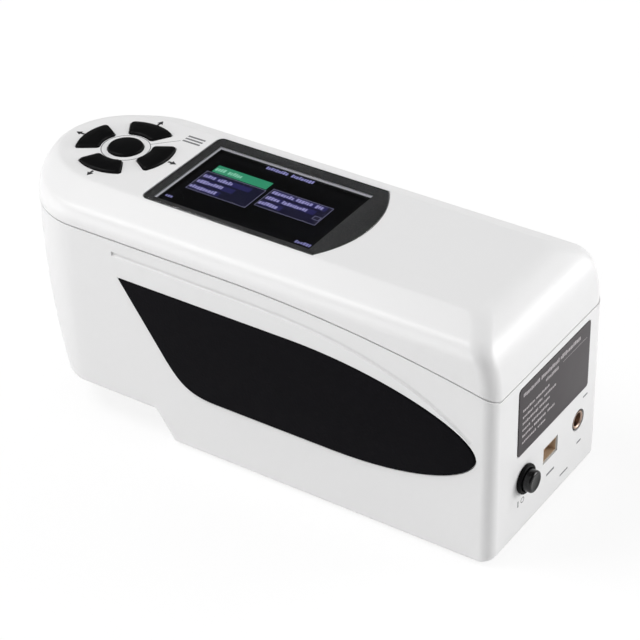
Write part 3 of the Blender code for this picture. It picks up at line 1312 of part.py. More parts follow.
def make_case_screws(surface):
    """Long-reach screws that close the case from below."""
    head = (CASE_SCREW_HEAD_RADIUS, CASE_SCREW_HEAD_HEIGHT)
    shank = (CASE_SCREW_RADIUS, CASE_SCREW_LENGTH)
    head_z = CASE_SCREW_SEAT_Z - FIT_GAP - CASE_SCREW_HEAD_HEIGHT
    spots = [(x, y, head_z) for x, y in case_screw_places()]
    place_copies("case_screw", screw(head, shank, CASE_SCREW_SOCKET), surface, spots)


def make_port_end(finishes):
    """Port board with the power jack, the data socket and the power switch, and the rating plate."""
    board = bmesh.new()
    add_box(board, (0.0, PORT_BOARD_Y, 0.0), (BOARD_THICKNESS, PORT_BOARD_END_Y, PORT_BOARD_HEIGHT))
    place("port_board", board, finishes["board"], (PORT_BOARD_X, 0.0, FOOT_HEIGHT + PORT_BOARD_LOW))
    make_power_jack(finishes["black plastic"])
    make_data_socket(finishes["brass"])
    make_power_switch(finishes)
    plate = bmesh.new()
    outline = plate_outline(0.0)
    stack(plate, ((0.0, outline), (PLATE_THICKNESS, outline)), "X")
    place("rating_plate", plate, finishes["plate"], (PORT_END_X - PLATE_RECESS + FIT_GAP, 0.0, 0.0))


def make_power_jack(surface):
    """Round power jack with a centre pin, its nose in the end wall."""
    body = bmesh.new()
    half_y, half_z = JACK_BODY_WIDTH / 2, JACK_BODY_HEIGHT / 2
    low = (PORT_PARTS_X, JACK_Y - half_y, SOCKET_Z - half_z)
    add_box(body, low, (PORT_INNER_X - FIT_GAP, JACK_Y + half_y, SOCKET_Z + half_z))
    jack = place("power_jack", body, surface)
    nose = bmesh.new()
    mouth = PORT_END_X - FIT_GAP
    add_cylinder(nose, JACK_NOSE_RADIUS, PORT_INNER_X - CUT_OVERRUN, mouth, (JACK_Y, SOCKET_Z), "X", 16)
    join(jack, "jack_nose", nose)
    bore = bmesh.new()
    base = mouth - JACK_BORE_DEPTH
    tip = mouth - JACK_PIN_SETBACK
    profile = (
        (0.0, tip),
        (JACK_PIN_RADIUS, tip),
        (JACK_PIN_RADIUS, base),
        (JACK_BORE_RADIUS, base),
        (JACK_BORE_RADIUS, mouth + CUT_OVERRUN),
        (0.0, mouth + CUT_OVERRUN),
    )
    add_turned(bore, profile, (JACK_Y, SOCKET_Z), "X", 16)
    cut(jack, "jack_bore", bore)


def make_data_socket(surface):
    """Small data socket: a metal shell with a tongue at its back."""
    body = bmesh.new()
    half_y, half_z = DATA_WIDTH / 2, DATA_HEIGHT / 2
    mouth = PORT_END_X - FIT_GAP
    low = (PORT_PARTS_X, DATA_Y - half_y, SOCKET_Z - half_z)
    add_box(body, low, (mouth, DATA_Y + half_y, SOCKET_Z + half_z))
    socket = place("data_socket", body, surface)
    mouth_hole = bmesh.new()
    half_y, half_z = half_y - DATA_SHELL, half_z - DATA_SHELL
    low = (mouth - DATA_DEPTH + DATA_TONGUE_LENGTH, DATA_Y - half_y, SOCKET_Z - half_z)
    add_box(mouth_hole, low, (mouth + CUT_OVERRUN, DATA_Y + half_y, SOCKET_Z + half_z))
    cut(socket, "data_mouth", mouth_hole)
    slots = bmesh.new()
    tongue = DATA_TONGUE_THICKNESS / 2
    back = mouth - DATA_DEPTH
    front = mouth - DATA_DEPTH + DATA_TONGUE_LENGTH + CUT_OVERRUN / 2
    wide = half_y - DATA_TONGUE_MARGIN
    add_box(slots, (back, DATA_Y - wide, SOCKET_Z + tongue), (front, DATA_Y + wide, SOCKET_Z + half_z))
    add_box(slots, (back, DATA_Y - wide, SOCKET_Z - half_z), (front, DATA_Y + wide, SOCKET_Z - tongue))
    cut(socket, "data_slots", slots)


def make_power_switch(finishes):
    """Latching push button: trim ring in the end wall, cap with its stem, and switch body."""
    trim = bmesh.new()
    bore = POWER_CAP_RADIUS + FIT_GAP
    face = PORT_END_X + FIT_GAP
    profile = (
        (bore, PORT_INNER_X),
        (POWER_NECK_RADIUS, PORT_INNER_X),
        (POWER_NECK_RADIUS, face),
        (POWER_TRIM_RADIUS, face),
        (POWER_TRIM_RADIUS, face + POWER_TRIM_THICKNESS - POWER_TRIM_EDGE),
        (POWER_TRIM_RADIUS - POWER_TRIM_EDGE, face + POWER_TRIM_THICKNESS),
        (bore, face + POWER_TRIM_THICKNESS),
    )
    add_turned(trim, profile, (POWER_Y, SOCKET_Z), "X")
    place("power_trim", trim, finishes["black plastic"])

    cap = bmesh.new()
    tip = POWER_CAP_REACH
    back = tip - POWER_CAP_LENGTH
    profile = (
        (0.0, tip),
        (POWER_CAP_RADIUS - POWER_CAP_EDGE, tip),
        (POWER_CAP_RADIUS, tip - POWER_CAP_EDGE),
        (POWER_CAP_RADIUS, back),
        (POWER_STEM_RADIUS, back),
        (POWER_STEM_RADIUS, back - POWER_STEM_LENGTH),
        (0.0, back - POWER_STEM_LENGTH),
    )
    add_turned(cap, profile, axis="X")
    place("power_button", cap, finishes["black plastic"], (PORT_END_X, POWER_Y, SOCKET_Z))

    body = bmesh.new()
    half = POWER_SWITCH_SIZE / 2
    front = PORT_PARTS_X + POWER_SWITCH_LENGTH
    add_box(body, (PORT_PARTS_X, POWER_Y - half, SOCKET_Z - half), (front, POWER_Y + half, SOCKET_Z + half))
    switch = place("power_switch", body, finishes["chip"])
    well = bmesh.new()
    stem_end = PORT_END_X + back - POWER_STEM_LENGTH
    bottom = stem_end - POWER_TRAVEL - FIT_GAP
    add_cylinder(well, POWER_STEM_RADIUS + FIT_GAP, bottom, front + CUT_OVERRUN, (POWER_Y, SOCKET_Z), "X")
    cut(switch, "switch_well", well)


def make_measure_button(finishes):
    """Measuring button in the far side, and the small board with its switch behind it."""
    button = bmesh.new()
    seat = MEASURE_FLANGE_Y - SIDE_Y
    profile = (
        (0.0, MEASURE_REACH),
        (MEASURE_RADIUS - MEASURE_EDGE, MEASURE_REACH),
        (MEASURE_RADIUS, MEASURE_REACH - MEASURE_EDGE),
        (MEASURE_RADIUS, seat),
        (MEASURE_RADIUS + MEASURE_FLANGE_REACH, seat),
        (MEASURE_RADIUS + MEASURE_FLANGE_REACH, seat - MEASURE_FLANGE),
        (MEASURE_PLUNGER_RADIUS, seat - MEASURE_FLANGE),
        (MEASURE_PLUNGER_RADIUS, MEASURE_PLUNGER_Y - SIDE_Y),
        (0.0, MEASURE_PLUNGER_Y - SIDE_Y),
    )
    add_turned(button, profile, axis="Y")
    place("measure_button", button, finishes["black plastic"], (MEASURE_X, SIDE_Y, MEASURE_Z))

    board = bmesh.new()
    half_x, half_z = MEASURE_BOARD_LENGTH / 2, MEASURE_BOARD_HEIGHT / 2
    low = (-half_x, -MEASURE_BOARD_THICKNESS, -half_z)
    add_box(board, low, (half_x, 0.0, half_z))
    centre = (MEASURE_X, MEASURE_BOARD_Y, MEASURE_Z)
    obj = place("measure_board", board, finishes["board"], centre)
    switch = bmesh.new()
    half = MEASURE_SWITCH_SIZE / 2
    low = (MEASURE_X - half, MEASURE_BOARD_Y - MEASURE_BOARD_THICKNESS / 2, MEASURE_Z - half)
    add_box(switch, low, (MEASURE_X + half, MEASURE_SWITCH_Y, MEASURE_Z + half))
    join(obj, "measure_switch", switch)
    holes = bmesh.new()
    for side in (-1, 1):
        spot = (side * MEASURE_POST_SPACING / 2, 0.0)
        low, high = -MEASURE_BOARD_THICKNESS - CUT_OVERRUN, CUT_OVERRUN
        add_cylinder(holes, MEASURE_PEG_RADIUS + FIT_GAP, low, high, spot, "Y")
    cut(obj, "measure_board_holes", holes, centre)


def sphere_arc(radius, start, stop):
    """Profile points of a sphere between two angles above its equator."""
    angles = [start + (stop - start) * i / SPHERE_STEPS for i in range(SPHERE_STEPS + 1)]
    return [(radius * math.cos(a), radius * math.sin(a)) for a in angles]


def make_sphere(finishes):
    """Integrating sphere in two flanged halves, held together by screws."""
    centre = (OPTICS_X, 0.0, SPHERE_Z)
    half_gap = FIT_GAP / 2
    flange_turn = math.asin((half_gap + SPHERE_FLANGE) / SPHERE_OUTER)
    inner_turn = math.asin(half_gap / SPHERE_INNER)
    upper = bmesh.new()
    outside = sphere_arc(SPHERE_OUTER, flange_turn, math.pi / 2)[:-1] + [(0.0, SPHERE_OUTER)]
    inside = [(0.0, SPHERE_INNER)] + sphere_arc(SPHERE_INNER, inner_turn, math.pi / 2)[:-1][::-1]
    flange = [(SPHERE_FLANGE_RADIUS, half_gap), (SPHERE_FLANGE_RADIUS, half_gap + SPHERE_FLANGE)]
    add_turned(upper, outside + inside + flange)
    half = place("sphere_upper", upper, finishes["sphere white"], centre)
    ports = bmesh.new()
    reach = SPHERE_NECK_HEIGHT + SPHERE_OUTER
    add_cylinder(ports, BARREL_RADIUS + FIT_GAP, SPHERE_Z, SPHERE_Z + reach, steps=16)
    cut(half, "sphere_view_port", ports, (OPTICS_X, 0.0, 0.0), VIEW_ANGLE)
    lamp = bmesh.new()
    spot = (OPTICS_X, SPHERE_Z + LAMP_RISE)
    add_cylinder(lamp, LAMP_RADIUS + FIT_GAP, -SPHERE_OUTER - CUT_OVERRUN, 0.0, spot, "Y", 16)
    cut(half, "sphere_lamp_port", lamp)
    cut(half, "upper_flange_holes", flange_holes(SPHERE_Z, SPHERE_Z + SPHERE_FLANGE + CUT_OVERRUN))

    lower = bmesh.new()
    neck_turn = -math.acos(SPHERE_NECK_RADIUS / SPHERE_OUTER)
    sample_turn = -math.acos(SPHERE_SAMPLE_RADIUS / SPHERE_INNER)
    outside = sphere_arc(SPHERE_OUTER, -flange_turn, neck_turn)
    inside = sphere_arc(SPHERE_INNER, sample_turn, -inner_turn)
    neck = [(SPHERE_NECK_RADIUS, -SPHERE_NECK_HEIGHT), (SPHERE_SAMPLE_RADIUS, -SPHERE_NECK_HEIGHT)]
    flange = [(SPHERE_FLANGE_RADIUS, -half_gap), (SPHERE_FLANGE_RADIUS, -half_gap - SPHERE_FLANGE)]
    add_turned(lower, outside + neck + inside + flange)
    half = place("sphere_lower", lower, finishes["sphere white"], centre)
    cut(half, "lower_flange_holes", flange_holes(SPHERE_Z - SPHERE_FLANGE - CUT_OVERRUN, SPHERE_Z))

    head = (SPHERE_SCREW_HEAD_RADIUS, SPHERE_SCREW_HEAD_HEIGHT)
    shank = (SPHERE_SCREW_RADIUS, SPHERE_FLANGE * 2 + FIT_GAP)
    head_z = SPHERE_Z - half_gap - SPHERE_FLANGE - FIT_GAP - SPHERE_SCREW_HEAD_HEIGHT
    spots = [(x, y, head_z) for x, y in sphere_screw_places()]
    place_copies("sphere_screw", screw(head, shank, SPHERE_SCREW_SOCKET), finishes["steel"], spots)


def flange_holes(low, high):
    """Holes of the sphere's flange screws."""
    holes = bmesh.new()
    for spot in sphere_screw_places():
        add_cylinder(holes, SPHERE_SCREW_RADIUS + FIT_GAP, low, high, spot)
    return holes


def make_sensor(finishes):
    """Viewing barrel, tilted off the sample's upright, with its lens and the sensor board."""
    sample = (OPTICS_X, 0.0, 0.0)
    offset = SPHERE_Z * math.sin(VIEW_ANGLE)
    centre = SPHERE_Z * math.cos(VIEW_ANGLE)
    surface_z = centre + math.sqrt(SPHERE_OUTER ** 2 - offset ** 2)
    start = surface_z - BARREL_INSERT
    flange = centre + SPHERE_OUTER + FIT_GAP
    end = KEY_BOARD_Z - BARREL_KEY_GAP
    seat = start + FIT_GAP + LENS_THICKNESS + FIT_GAP
    barrel = bmesh.new()
    profile = (
        (BARREL_LENS_BORE, start),
        (BARREL_RADIUS, start),
        (BARREL_RADIUS, flange),
        (BARREL_FLANGE_RADIUS, flange),
        (BARREL_FLANGE_RADIUS, flange + BARREL_FLANGE),
        (BARREL_RADIUS, flange + BARREL_FLANGE),
        (BARREL_RADIUS, end),
        (BARREL_BORE, end),
        (BARREL_BORE, seat),
        (BARREL_LENS_BORE, seat),
    )
    add_turned(barrel, profile, steps=16)
    place("sensor_barrel", barrel, finishes["black plastic"], sample, VIEW_ANGLE)

    lens = bmesh.new()
    radius = BARREL_LENS_BORE - FIT_GAP
    low = start + FIT_GAP
    profile = (
        (0.0, low),
        (radius, low + LENS_CROWN),
        (radius, low + LENS_THICKNESS - LENS_CROWN),
        (0.0, low + LENS_THICKNESS),
    )
    add_turned(lens, profile, steps=16)
    place("sensor_lens", lens, finishes["glass"], sample, VIEW_ANGLE)

    board = bmesh.new()
    half = SENSOR_BOARD_SIZE / 2
    add_box(board, (-half, -half, end + FIT_GAP), (half, half, end + FIT_GAP + SENSOR_BOARD_THICKNESS))
    place("sensor_board", board, finishes["board"], sample, VIEW_ANGLE)


def make_lamp(finishes):
    """Lamp holder in the side of the sphere, with its lamp board."""
    centre = (OPTICS_X, SPHERE_Z + LAMP_RISE)
    surface_y = -math.sqrt(SPHERE_OUTER ** 2 - LAMP_RISE ** 2)
    start = surface_y + LAMP_INSERT
    flange = surface_y - LAMP_FLANGE_START
    end = -(SIDE_Y - WALL - LAMP_WALL_GAP - LAMP_BOARD_THICKNESS - FIT_GAP)
    holder = bmesh.new()
    profile = (
        (LAMP_BORE, start),
        (LAMP_RADIUS, start),
        (LAMP_RADIUS, flange),
        (LAMP_FLANGE_RADIUS, flange),
        (LAMP_FLANGE_RADIUS, flange - LAMP_FLANGE),
        (LAMP_RADIUS, flange - LAMP_FLANGE),
        (LAMP_RADIUS, end),
        (LAMP_BORE, end),
    )
    add_turned(holder, profile, centre, "Y", 16)
    place("lamp_holder", holder, finishes["black plastic"])

    board = bmesh.new()
    half = LAMP_BOARD_SIZE / 2
    low = (-half, -LAMP_BOARD_THICKNESS, -half)
    add_box(board, low, (half, 0.0, half))
    place("lamp_board", board, finishes["board"], (OPTICS_X, end - FIT_GAP, SPHERE_Z + LAMP_RISE))


def make_measuring_port(finishes):
    """Bracket inside the nose, measuring port under it, glass, exchangeable ring and the port screws."""
    bracket = bmesh.new()
    half = BRACKET_WIDTH / 2
    outline = rectangle((-BRACKET_FRONT, -half), (BRACKET_REAR, half), BRACKET_CORNER)
    stack(bracket, ((0.0, outline), (BRACKET_THICKNESS, outline)))
    obj = place("optics_bracket", bracket, finishes["aluminium"], (OPTICS_X, 0.0, BRACKET_Z))
    holes = bmesh.new()
    low, high = BRACKET_Z - CUT_OVERRUN, BRACKET_Z + BRACKET_THICKNESS + CUT_OVERRUN
    add_cylinder(holes, BRACKET_BORE, low, high, (OPTICS_X, 0.0), steps=RADIAL_STEPS)
    spots = round_places(OPTICS_X, PORT_SCREW_CIRCLE, PORT_SCREW_COUNT)
    for spot in spots:
        add_cylinder(holes, PORT_SCREW_RADIUS + FIT_GAP, low, high, spot)
    cut(obj, "bracket_holes", holes)

    flange_top = NOSE_UNDERSIDE_Z - FIT_GAP
    flange_bottom = flange_top - PORT_FLANGE
    bottom = PORT_RING_THICKNESS + FIT_GAP
    port = bmesh.new()
    profile = (
        (PORT_BORE_RADIUS, NOSE_FLOOR_Z),
        (PORT_NECK_RADIUS, NOSE_FLOOR_Z),
        (PORT_NECK_RADIUS, flange_top),
        (PORT_FLANGE_RADIUS, flange_top),
        (PORT_FLANGE_RADIUS, flange_bottom),
        (PORT_BODY_RADIUS, flange_bottom),
        (PORT_BODY_RADIUS, bottom),
        (PORT_BORE_RADIUS, bottom),
    )
    add_turned(port, profile)
    obj = place("measuring_port", port, finishes["black plastic"], (OPTICS_X, 0.0, 0.0))
    sinks = bmesh.new()
    for spot in spots:
        hole = PORT_SCREW_RADIUS + FIT_GAP
        sink = PORT_SCREW_HEAD_RADIUS + FIT_GAP
        top = flange_top + CUT_OVERRUN
        low = flange_bottom - CUT_OVERRUN
        step = flange_bottom + PORT_SCREW_SINK
        profile = ((0.0, low), (sink, low), (sink, step), (hole, step), (hole, top), (0.0, top))
        add_turned(sinks, profile, spot, steps=SMALL_STEPS)
    cut(obj, "port_sinks", sinks)

    ring = bmesh.new()
    spigot = PORT_BORE_RADIUS - FIT_GAP
    spigot_top = PORT_RING_THICKNESS + PORT_RING_SPIGOT
    profile = (
        (APERTURE_RADIUS, 0.0),
        (PORT_RING_RADIUS - PORT_RING_EDGE, 0.0),
        (PORT_RING_RADIUS, PORT_RING_EDGE),
        (PORT_RING_RADIUS, PORT_RING_THICKNESS),
        (spigot, PORT_RING_THICKNESS),
        (spigot, spigot_top),
        (APERTURE_RADIUS, spigot_top),
    )
    add_turned(ring, profile)
    place("port_ring", ring, finishes["black plastic"], (OPTICS_X, 0.0, 0.0))

    glass = bmesh.new()
    low = spigot_top + FIT_GAP
    add_cylinder(glass, spigot, low, low + GLASS_THICKNESS, steps=RADIAL_STEPS)
    place("port_glass", glass, finishes["glass"], (OPTICS_X, 0.0, 0.0))

    head = (PORT_SCREW_HEAD_RADIUS, PORT_SCREW_HEAD_HEIGHT)
    head_z = flange_bottom + PORT_SCREW_SINK - FIT_GAP - PORT_SCREW_HEAD_HEIGHT
    shank = (PORT_SCREW_RADIUS, BRACKET_Z + BRACKET_THICKNESS - head_z - PORT_SCREW_HEAD_HEIGHT)
    spots = [(x, y, head_z) for x, y in spots]
    place_copies("port_screw", screw(head, shank, PORT_SCREW_SOCKET), finishes["steel"], spots)


def make_finishes():
    """Every surface finish of the instrument, by name."""
    return {
        "white plastic": finish("white plastic", (0.86, 0.86, 0.86), 0.35),
        "black plastic": finish("black plastic", (0.012, 0.012, 0.012), 0.4),
        "black glass": finish("black glass", (0.02, 0.02, 0.022), 0.08),
        "grip rubber": finish("grip rubber", (0.01, 0.01, 0.012), 0.7),
        "plate": finish("plate", (0.08, 0.07, 0.072), 0.45),
        "silicone": finish("silicone", (0.55, 0.56, 0.58), 0.6),
        "foam": finish("foam", (0.02, 0.02, 0.02), 0.9),
        "board": finish("board", (0.03, 0.16, 0.07), 0.4),
        "chip": finish("chip", (0.02, 0.02, 0.02), 0.5),
        "ribbon": finish("ribbon", (0.55, 0.28, 0.06), 0.4),
        "lead": finish("lead", (0.4, 0.02, 0.02), 0.45),
        "battery wrap": finish("battery wrap", (0.05, 0.12, 0.3), 0.4),
        "sphere white": finish("sphere white", (0.9, 0.9, 0.88), 0.9),
        "glass": finish("glass", (0.8, 0.85, 0.85), 0.03),
        "steel": finish("steel", (0.6, 0.6, 0.62), 0.3, 1.0),
        "brass": finish("brass", (0.75, 0.55, 0.25), 0.3, 1.0),
        "bright metal": finish("bright metal", (0.7, 0.7, 0.72), 0.3, 1.0),
        "aluminium": finish("aluminium", (0.65, 0.66, 0.68), 0.4, 1.0),
    }


def build():
    """Model the whole instrument."""
    clear_scene()
    finishes = make_finishes()
    make_lower_case(finishes["white plastic"])
    make_top_cover(finishes["white plastic"])
    make_grips(finishes["grip rubber"])
    make_display(finishes)
    make_keys(finishes)
    make_main_board(finishes)
    make_battery(finishes)
    make_feet(finishes["grip rubber"])
    make_case_screws(finishes["steel"])
    make_port_end(finishes)
    make_measure_button(finishes)
    make_measuring_port(finishes)
    make_sphere(finishes)
    make_sensor(finishes)
    make_lamp(finishes)


build()
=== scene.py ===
"""Portable colorimeter on a pale studio floor, seen from its near side and port end.
Every piece is in metres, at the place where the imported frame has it.
"""
import math
import bmesh
import bpy
import numpy as np
from mathutils import Matrix


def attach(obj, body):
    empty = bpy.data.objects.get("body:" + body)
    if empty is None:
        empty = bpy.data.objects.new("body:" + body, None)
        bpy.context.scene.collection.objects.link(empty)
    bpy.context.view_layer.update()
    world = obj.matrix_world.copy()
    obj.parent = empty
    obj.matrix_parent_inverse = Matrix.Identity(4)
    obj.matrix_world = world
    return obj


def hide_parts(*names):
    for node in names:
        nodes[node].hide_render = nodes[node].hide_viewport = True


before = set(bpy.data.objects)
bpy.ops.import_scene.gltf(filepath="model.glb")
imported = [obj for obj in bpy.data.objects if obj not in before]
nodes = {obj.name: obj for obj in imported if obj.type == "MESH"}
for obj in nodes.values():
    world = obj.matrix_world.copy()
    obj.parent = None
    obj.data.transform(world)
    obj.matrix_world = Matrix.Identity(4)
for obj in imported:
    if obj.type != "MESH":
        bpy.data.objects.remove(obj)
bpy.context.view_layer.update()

# ---------------------------------------------------------------- studio
# The view of the photograph: a long lens from the front right, above the display.
# The instrument stands on a pale floor that runs up into a low wall all round.
view_azimuth, view_elevation, view_roll = np.radians((34.29, 34.31, -1.43))
view_right, view_up, view_distance = 0.01667, 0.02582, 0.74598
view_aim = np.array([-0.0145, 0.0, 0.0024])
back = np.array([
    math.sin(view_azimuth) * math.cos(view_elevation),
    -math.cos(view_azimuth) * math.cos(view_elevation),
    math.sin(view_elevation),
])
level = np.array([math.cos(view_azimuth), math.sin(view_azimuth), 0.0])
upright = np.cross(back, level)
right = math.cos(view_roll) * level + math.sin(view_roll) * upright
up = math.cos(view_roll) * upright - math.sin(view_roll) * level
lens = bpy.data.cameras.new("photo_view")
lens.sensor_width = 36.0
lens.lens = 128.25
lens.clip_start = 0.02
lens.clip_end = 20.0
camera = bpy.data.objects.new("photo_view", lens)
stand = right * view_right + up * view_up + back * view_distance + view_aim
turned_camera = Matrix(np.column_stack([right, up, back]).tolist()).to_4x4()
turned_camera.translation = stand.tolist()
camera.matrix_world = turned_camera
bpy.context.scene.collection.objects.link(camera)
bpy.context.scene.camera = camera
bpy.context.scene.view_settings.view_transform = "Standard"

SHARP_ANGLE = math.radians(35.0)


def grid_faces(rows, columns, closed_rows=False):
    """Quads between neighbouring points of a grid, as corner numbers: row i, column j is point
    i * columns + j. The last column always joins the first."""
    i = np.arange(rows if closed_rows else rows - 1)[:, None]
    j = np.arange(columns)[None, :]
    k, m = (i + 1) % rows, (j + 1) % columns
    corners = np.broadcast_arrays(i * columns + j, i * columns + m, k * columns + m, k * columns + j)
    return np.stack(corners, -1).reshape(-1, 4).tolist()


def oriented(axis, along, first, second):
    """Points from their places along an axis and across it, in X, Y, Z order."""
    order = {"X": (along, first, second), "Y": (first, along, second), "Z": (first, second, along)}[axis]
    return np.stack(np.broadcast_arrays(*order), -1)


def turned(profile, centre=(0.0, 0.0), axis="Z", steps=64):
    """A turned body. Each (radius, place) of the closed profile is carried round the axis:
    first = centre + radius * cos(angle), second = centre + radius * sin(angle)."""
    radius, along = np.array(profile).T[:, :, None]
    angle = np.linspace(0.0, 2 * np.pi, steps, endpoint=False)
    points = oriented(axis, along, centre[0] + radius * np.cos(angle), centre[1] + radius * np.sin(angle))
    return points.reshape(-1, 3), grid_faces(len(profile), steps, closed_rows=True)


def new_mesh(name, points, faces):
    """A mesh with doubled points merged, faces outwards, and smooth but for its sharp edges."""
    mesh = bpy.data.meshes.new(name)
    mesh.from_pydata(np.asarray(points).tolist(), [], faces)
    shape = bmesh.new()
    shape.from_mesh(mesh)
    bmesh.ops.remove_doubles(shape, verts=shape.verts, dist=1e-7)
    bmesh.ops.recalc_face_normals(shape, faces=shape.faces)
    shape.to_mesh(mesh)
    shape.free()
    mesh.shade_smooth()
    mesh.set_sharp_from_angle(angle=SHARP_ANGLE)
    return mesh


def new_object(name, mesh, *surfaces):
    """An object at the origin that shows a mesh."""
    piece = bpy.data.objects.new(name, mesh)
    bpy.context.scene.collection.objects.link(piece)
    for surface in surfaces:
        mesh.materials.append(surface)
    return piece


def add_node(tree, kind, inputs=(), **settings):
    """A shader node with its settings; an input takes a value or is linked to another's output."""
    made = tree.nodes.new(kind)
    for setting, value in settings.items():
        setattr(made, setting, value)
    for name, value in dict(inputs).items():
        if isinstance(value, bpy.types.NodeSocket):
            tree.links.new(value, made.inputs[name])
        else:
            made.inputs[name].default_value = value
    return made


def feed(tree, node, sockets):
    """Link worked-out colours and values to a node's inputs."""
    for name, value in sockets.items():
        tree.links.new(value, node.inputs[name])


def new_surface(name, sockets=()):
    """A material with one Principled shader, whose plain values sit on its own sockets."""
    made = bpy.data.materials.new(name)
    made.use_nodes = True
    shader = made.node_tree.nodes["Principled BSDF"]
    for socket, value in dict(sockets).items():
        shader.inputs[socket].default_value = value
    return made, made.node_tree, shader


def object_place(tree):
    """Where a point of the surface is on its object, in metres."""
    return add_node(tree, "ShaderNodeTexCoord").outputs["Object"]


def noise(tree, place, scale, detail):
    """Smooth noise from 0 to 1, whose blotches are about 1 / scale metres wide."""
    return add_node(tree, "ShaderNodeTexNoise", {"Vector": place, "Scale": scale, "Detail": detail}).outputs["Fac"]


def ranged(tree, value, low, high, start=0.0, stop=1.0):
    """A value carried in proportion from the range start to stop onto the range low to high."""
    ends = {"From Min": start, "From Max": stop, "To Min": low, "To Max": high}
    return add_node(tree, "ShaderNodeMapRange", {"Value": value, **ends}).outputs["Result"]


def worked(tree, operation, *values):
    """The result of a sum, by the name that the Math node has for it."""
    return add_node(tree, "ShaderNodeMath", dict(enumerate(values)), operation=operation).outputs[0]


FLOOR_RADIUS = 3.0
FLOOR_BEND = 0.5
FLOOR_WALL = 0.75
FLOOR_THICKNESS = 0.02
bend = np.linspace(0.0, np.pi / 2, 13)
floor_profile = np.vstack([
    [[0.0, 0.0], [0.5, 0.0], [1.5, 0.0]],
    np.column_stack([FLOOR_RADIUS - FLOOR_BEND + FLOOR_BEND * np.sin(bend), FLOOR_BEND - FLOOR_BEND * np.cos(bend)]),
    [[FLOOR_RADIUS, FLOOR_WALL], [FLOOR_RADIUS + FLOOR_THICKNESS, FLOOR_WALL]],
    [[FLOOR_RADIUS + FLOOR_THICKNESS, -FLOOR_THICKNESS], [0.0, -FLOOR_THICKNESS]],
])
paper, tree, shader = new_surface("studio_paper", {"Roughness": 0.9, "Specular IOR Level": 0.1})
feed(tree, shader, {"Base Color": ranged(tree, noise(tree, object_place(tree), 40.0, 4.0), 0.79, 0.81)})
rays = add_node(tree, "ShaderNodeLightPath").outputs
seen = worked(tree, "MAXIMUM", rays["Is Camera Ray"], rays["Is Transmission Ray"])
glow = add_node(tree, "ShaderNodeEmission", {"Color": (1.0, 1.0, 1.0, 1.0), "Strength": 1.06})
lit_paper = add_node(tree, "ShaderNodeMixShader",
                     {0: worked(tree, "MULTIPLY", seen, 0.8), 1: shader.outputs[0], 2: glow.outputs[0]})
feed(tree, tree.nodes["Material Output"], {"Surface": lit_paper.outputs[0]})
floor = new_object("studio_floor", new_mesh("studio_floor", *turned(floor_profile, steps=96)), paper)

world = bpy.data.worlds.new("studio_air")
world.use_nodes = True
tree = world.node_tree
air = tree.nodes["Background"]
air.inputs["Color"].default_value = (1.0, 1.0, 1.0, 1.0)
rays = add_node(tree, "ShaderNodeLightPath").outputs
mirrored = worked(tree, "MAXIMUM", rays["Is Glossy Ray"], rays["Is Transmission Ray"])
feed(tree, air, {"Strength": ranged(tree, mirrored, 0.36, 0.02)})
bpy.context.scene.world = world


def add_softbox(name, spot, aim, size, power):
    """A rectangular soft light at a spot, turned so that it shines at an aim."""
    lamp = bpy.data.lights.new(name, "AREA")
    lamp.shape = "RECTANGLE"
    lamp.size, lamp.size_y = size
    lamp.energy = power
    box = bpy.data.objects.new(name, lamp)
    away = np.array(spot, float) - np.array(aim, float)
    away /= np.linalg.norm(away)
    across = np.cross((0.0, 0.0, 1.0), away)
    across /= np.linalg.norm(across)
    placed = Matrix(np.column_stack([across, np.cross(away, across), away]).tolist()).to_4x4()
    placed.translation = spot
    box.matrix_world = placed
    bpy.context.scene.collection.objects.link(box)


add_softbox("light_above", (-0.62, -0.36, 1.14), (0.0, 0.0, 0.05), (0.6, 0.5), 9.1)
add_softbox("light_left", (-0.95, -1.20, 0.40), (0.0, 0.0, 0.04), (1.8, 0.7), 9.6)
add_softbox("light_right", (0.85, 0.85, 0.62), (0.05, 0.0, 0.04), (1.3, 0.9), 6.0)
add_softbox("light_end", (1.05, 0.86, 0.22), (0.09, 0.0, 0.04), (0.5, 0.36), 7.9)


# ---------------------------------------------------------------- lower case
# The lower half of the housing, moulded in white plastic in one piece: upright sides, a nose
# that leans in towards its raised underside, a slanted step, and a lip that enters the cover.
NOSE_ROOT = -0.0635
NOSE_LENGTH = 0.0285
NOSE_POWER = 2.04
NOSE_LEAN = 0.0095
HALF_WIDTH = 0.0335
PORT_END = 0.088
STEP_TOP = -0.035
STEP_FOOT = -0.028
CASE_WALL = 0.0022
CASE_CORNER = 0.004
COVER_CORNER = 0.0050
CASE_FLOOR = 0.0008
NOSE_UNDERSIDE = 0.0110
NOSE_FLOOR = NOSE_UNDERSIDE + CASE_WALL
LEVEL_TOP = 0.0561
BOTTOM_ROUND = 0.0015
END_ROUND = 0.003
PARTING_HEIGHT = 0.0706
PARTING_DIP = 0.0101
PARTING_DIP_LENGTH = 0.095
PARTING_DROP = 0.0014
LIP = 0.0009
SEAM = 0.0003
CUT_PAST = 0.002
CORNER_STEPS = 12


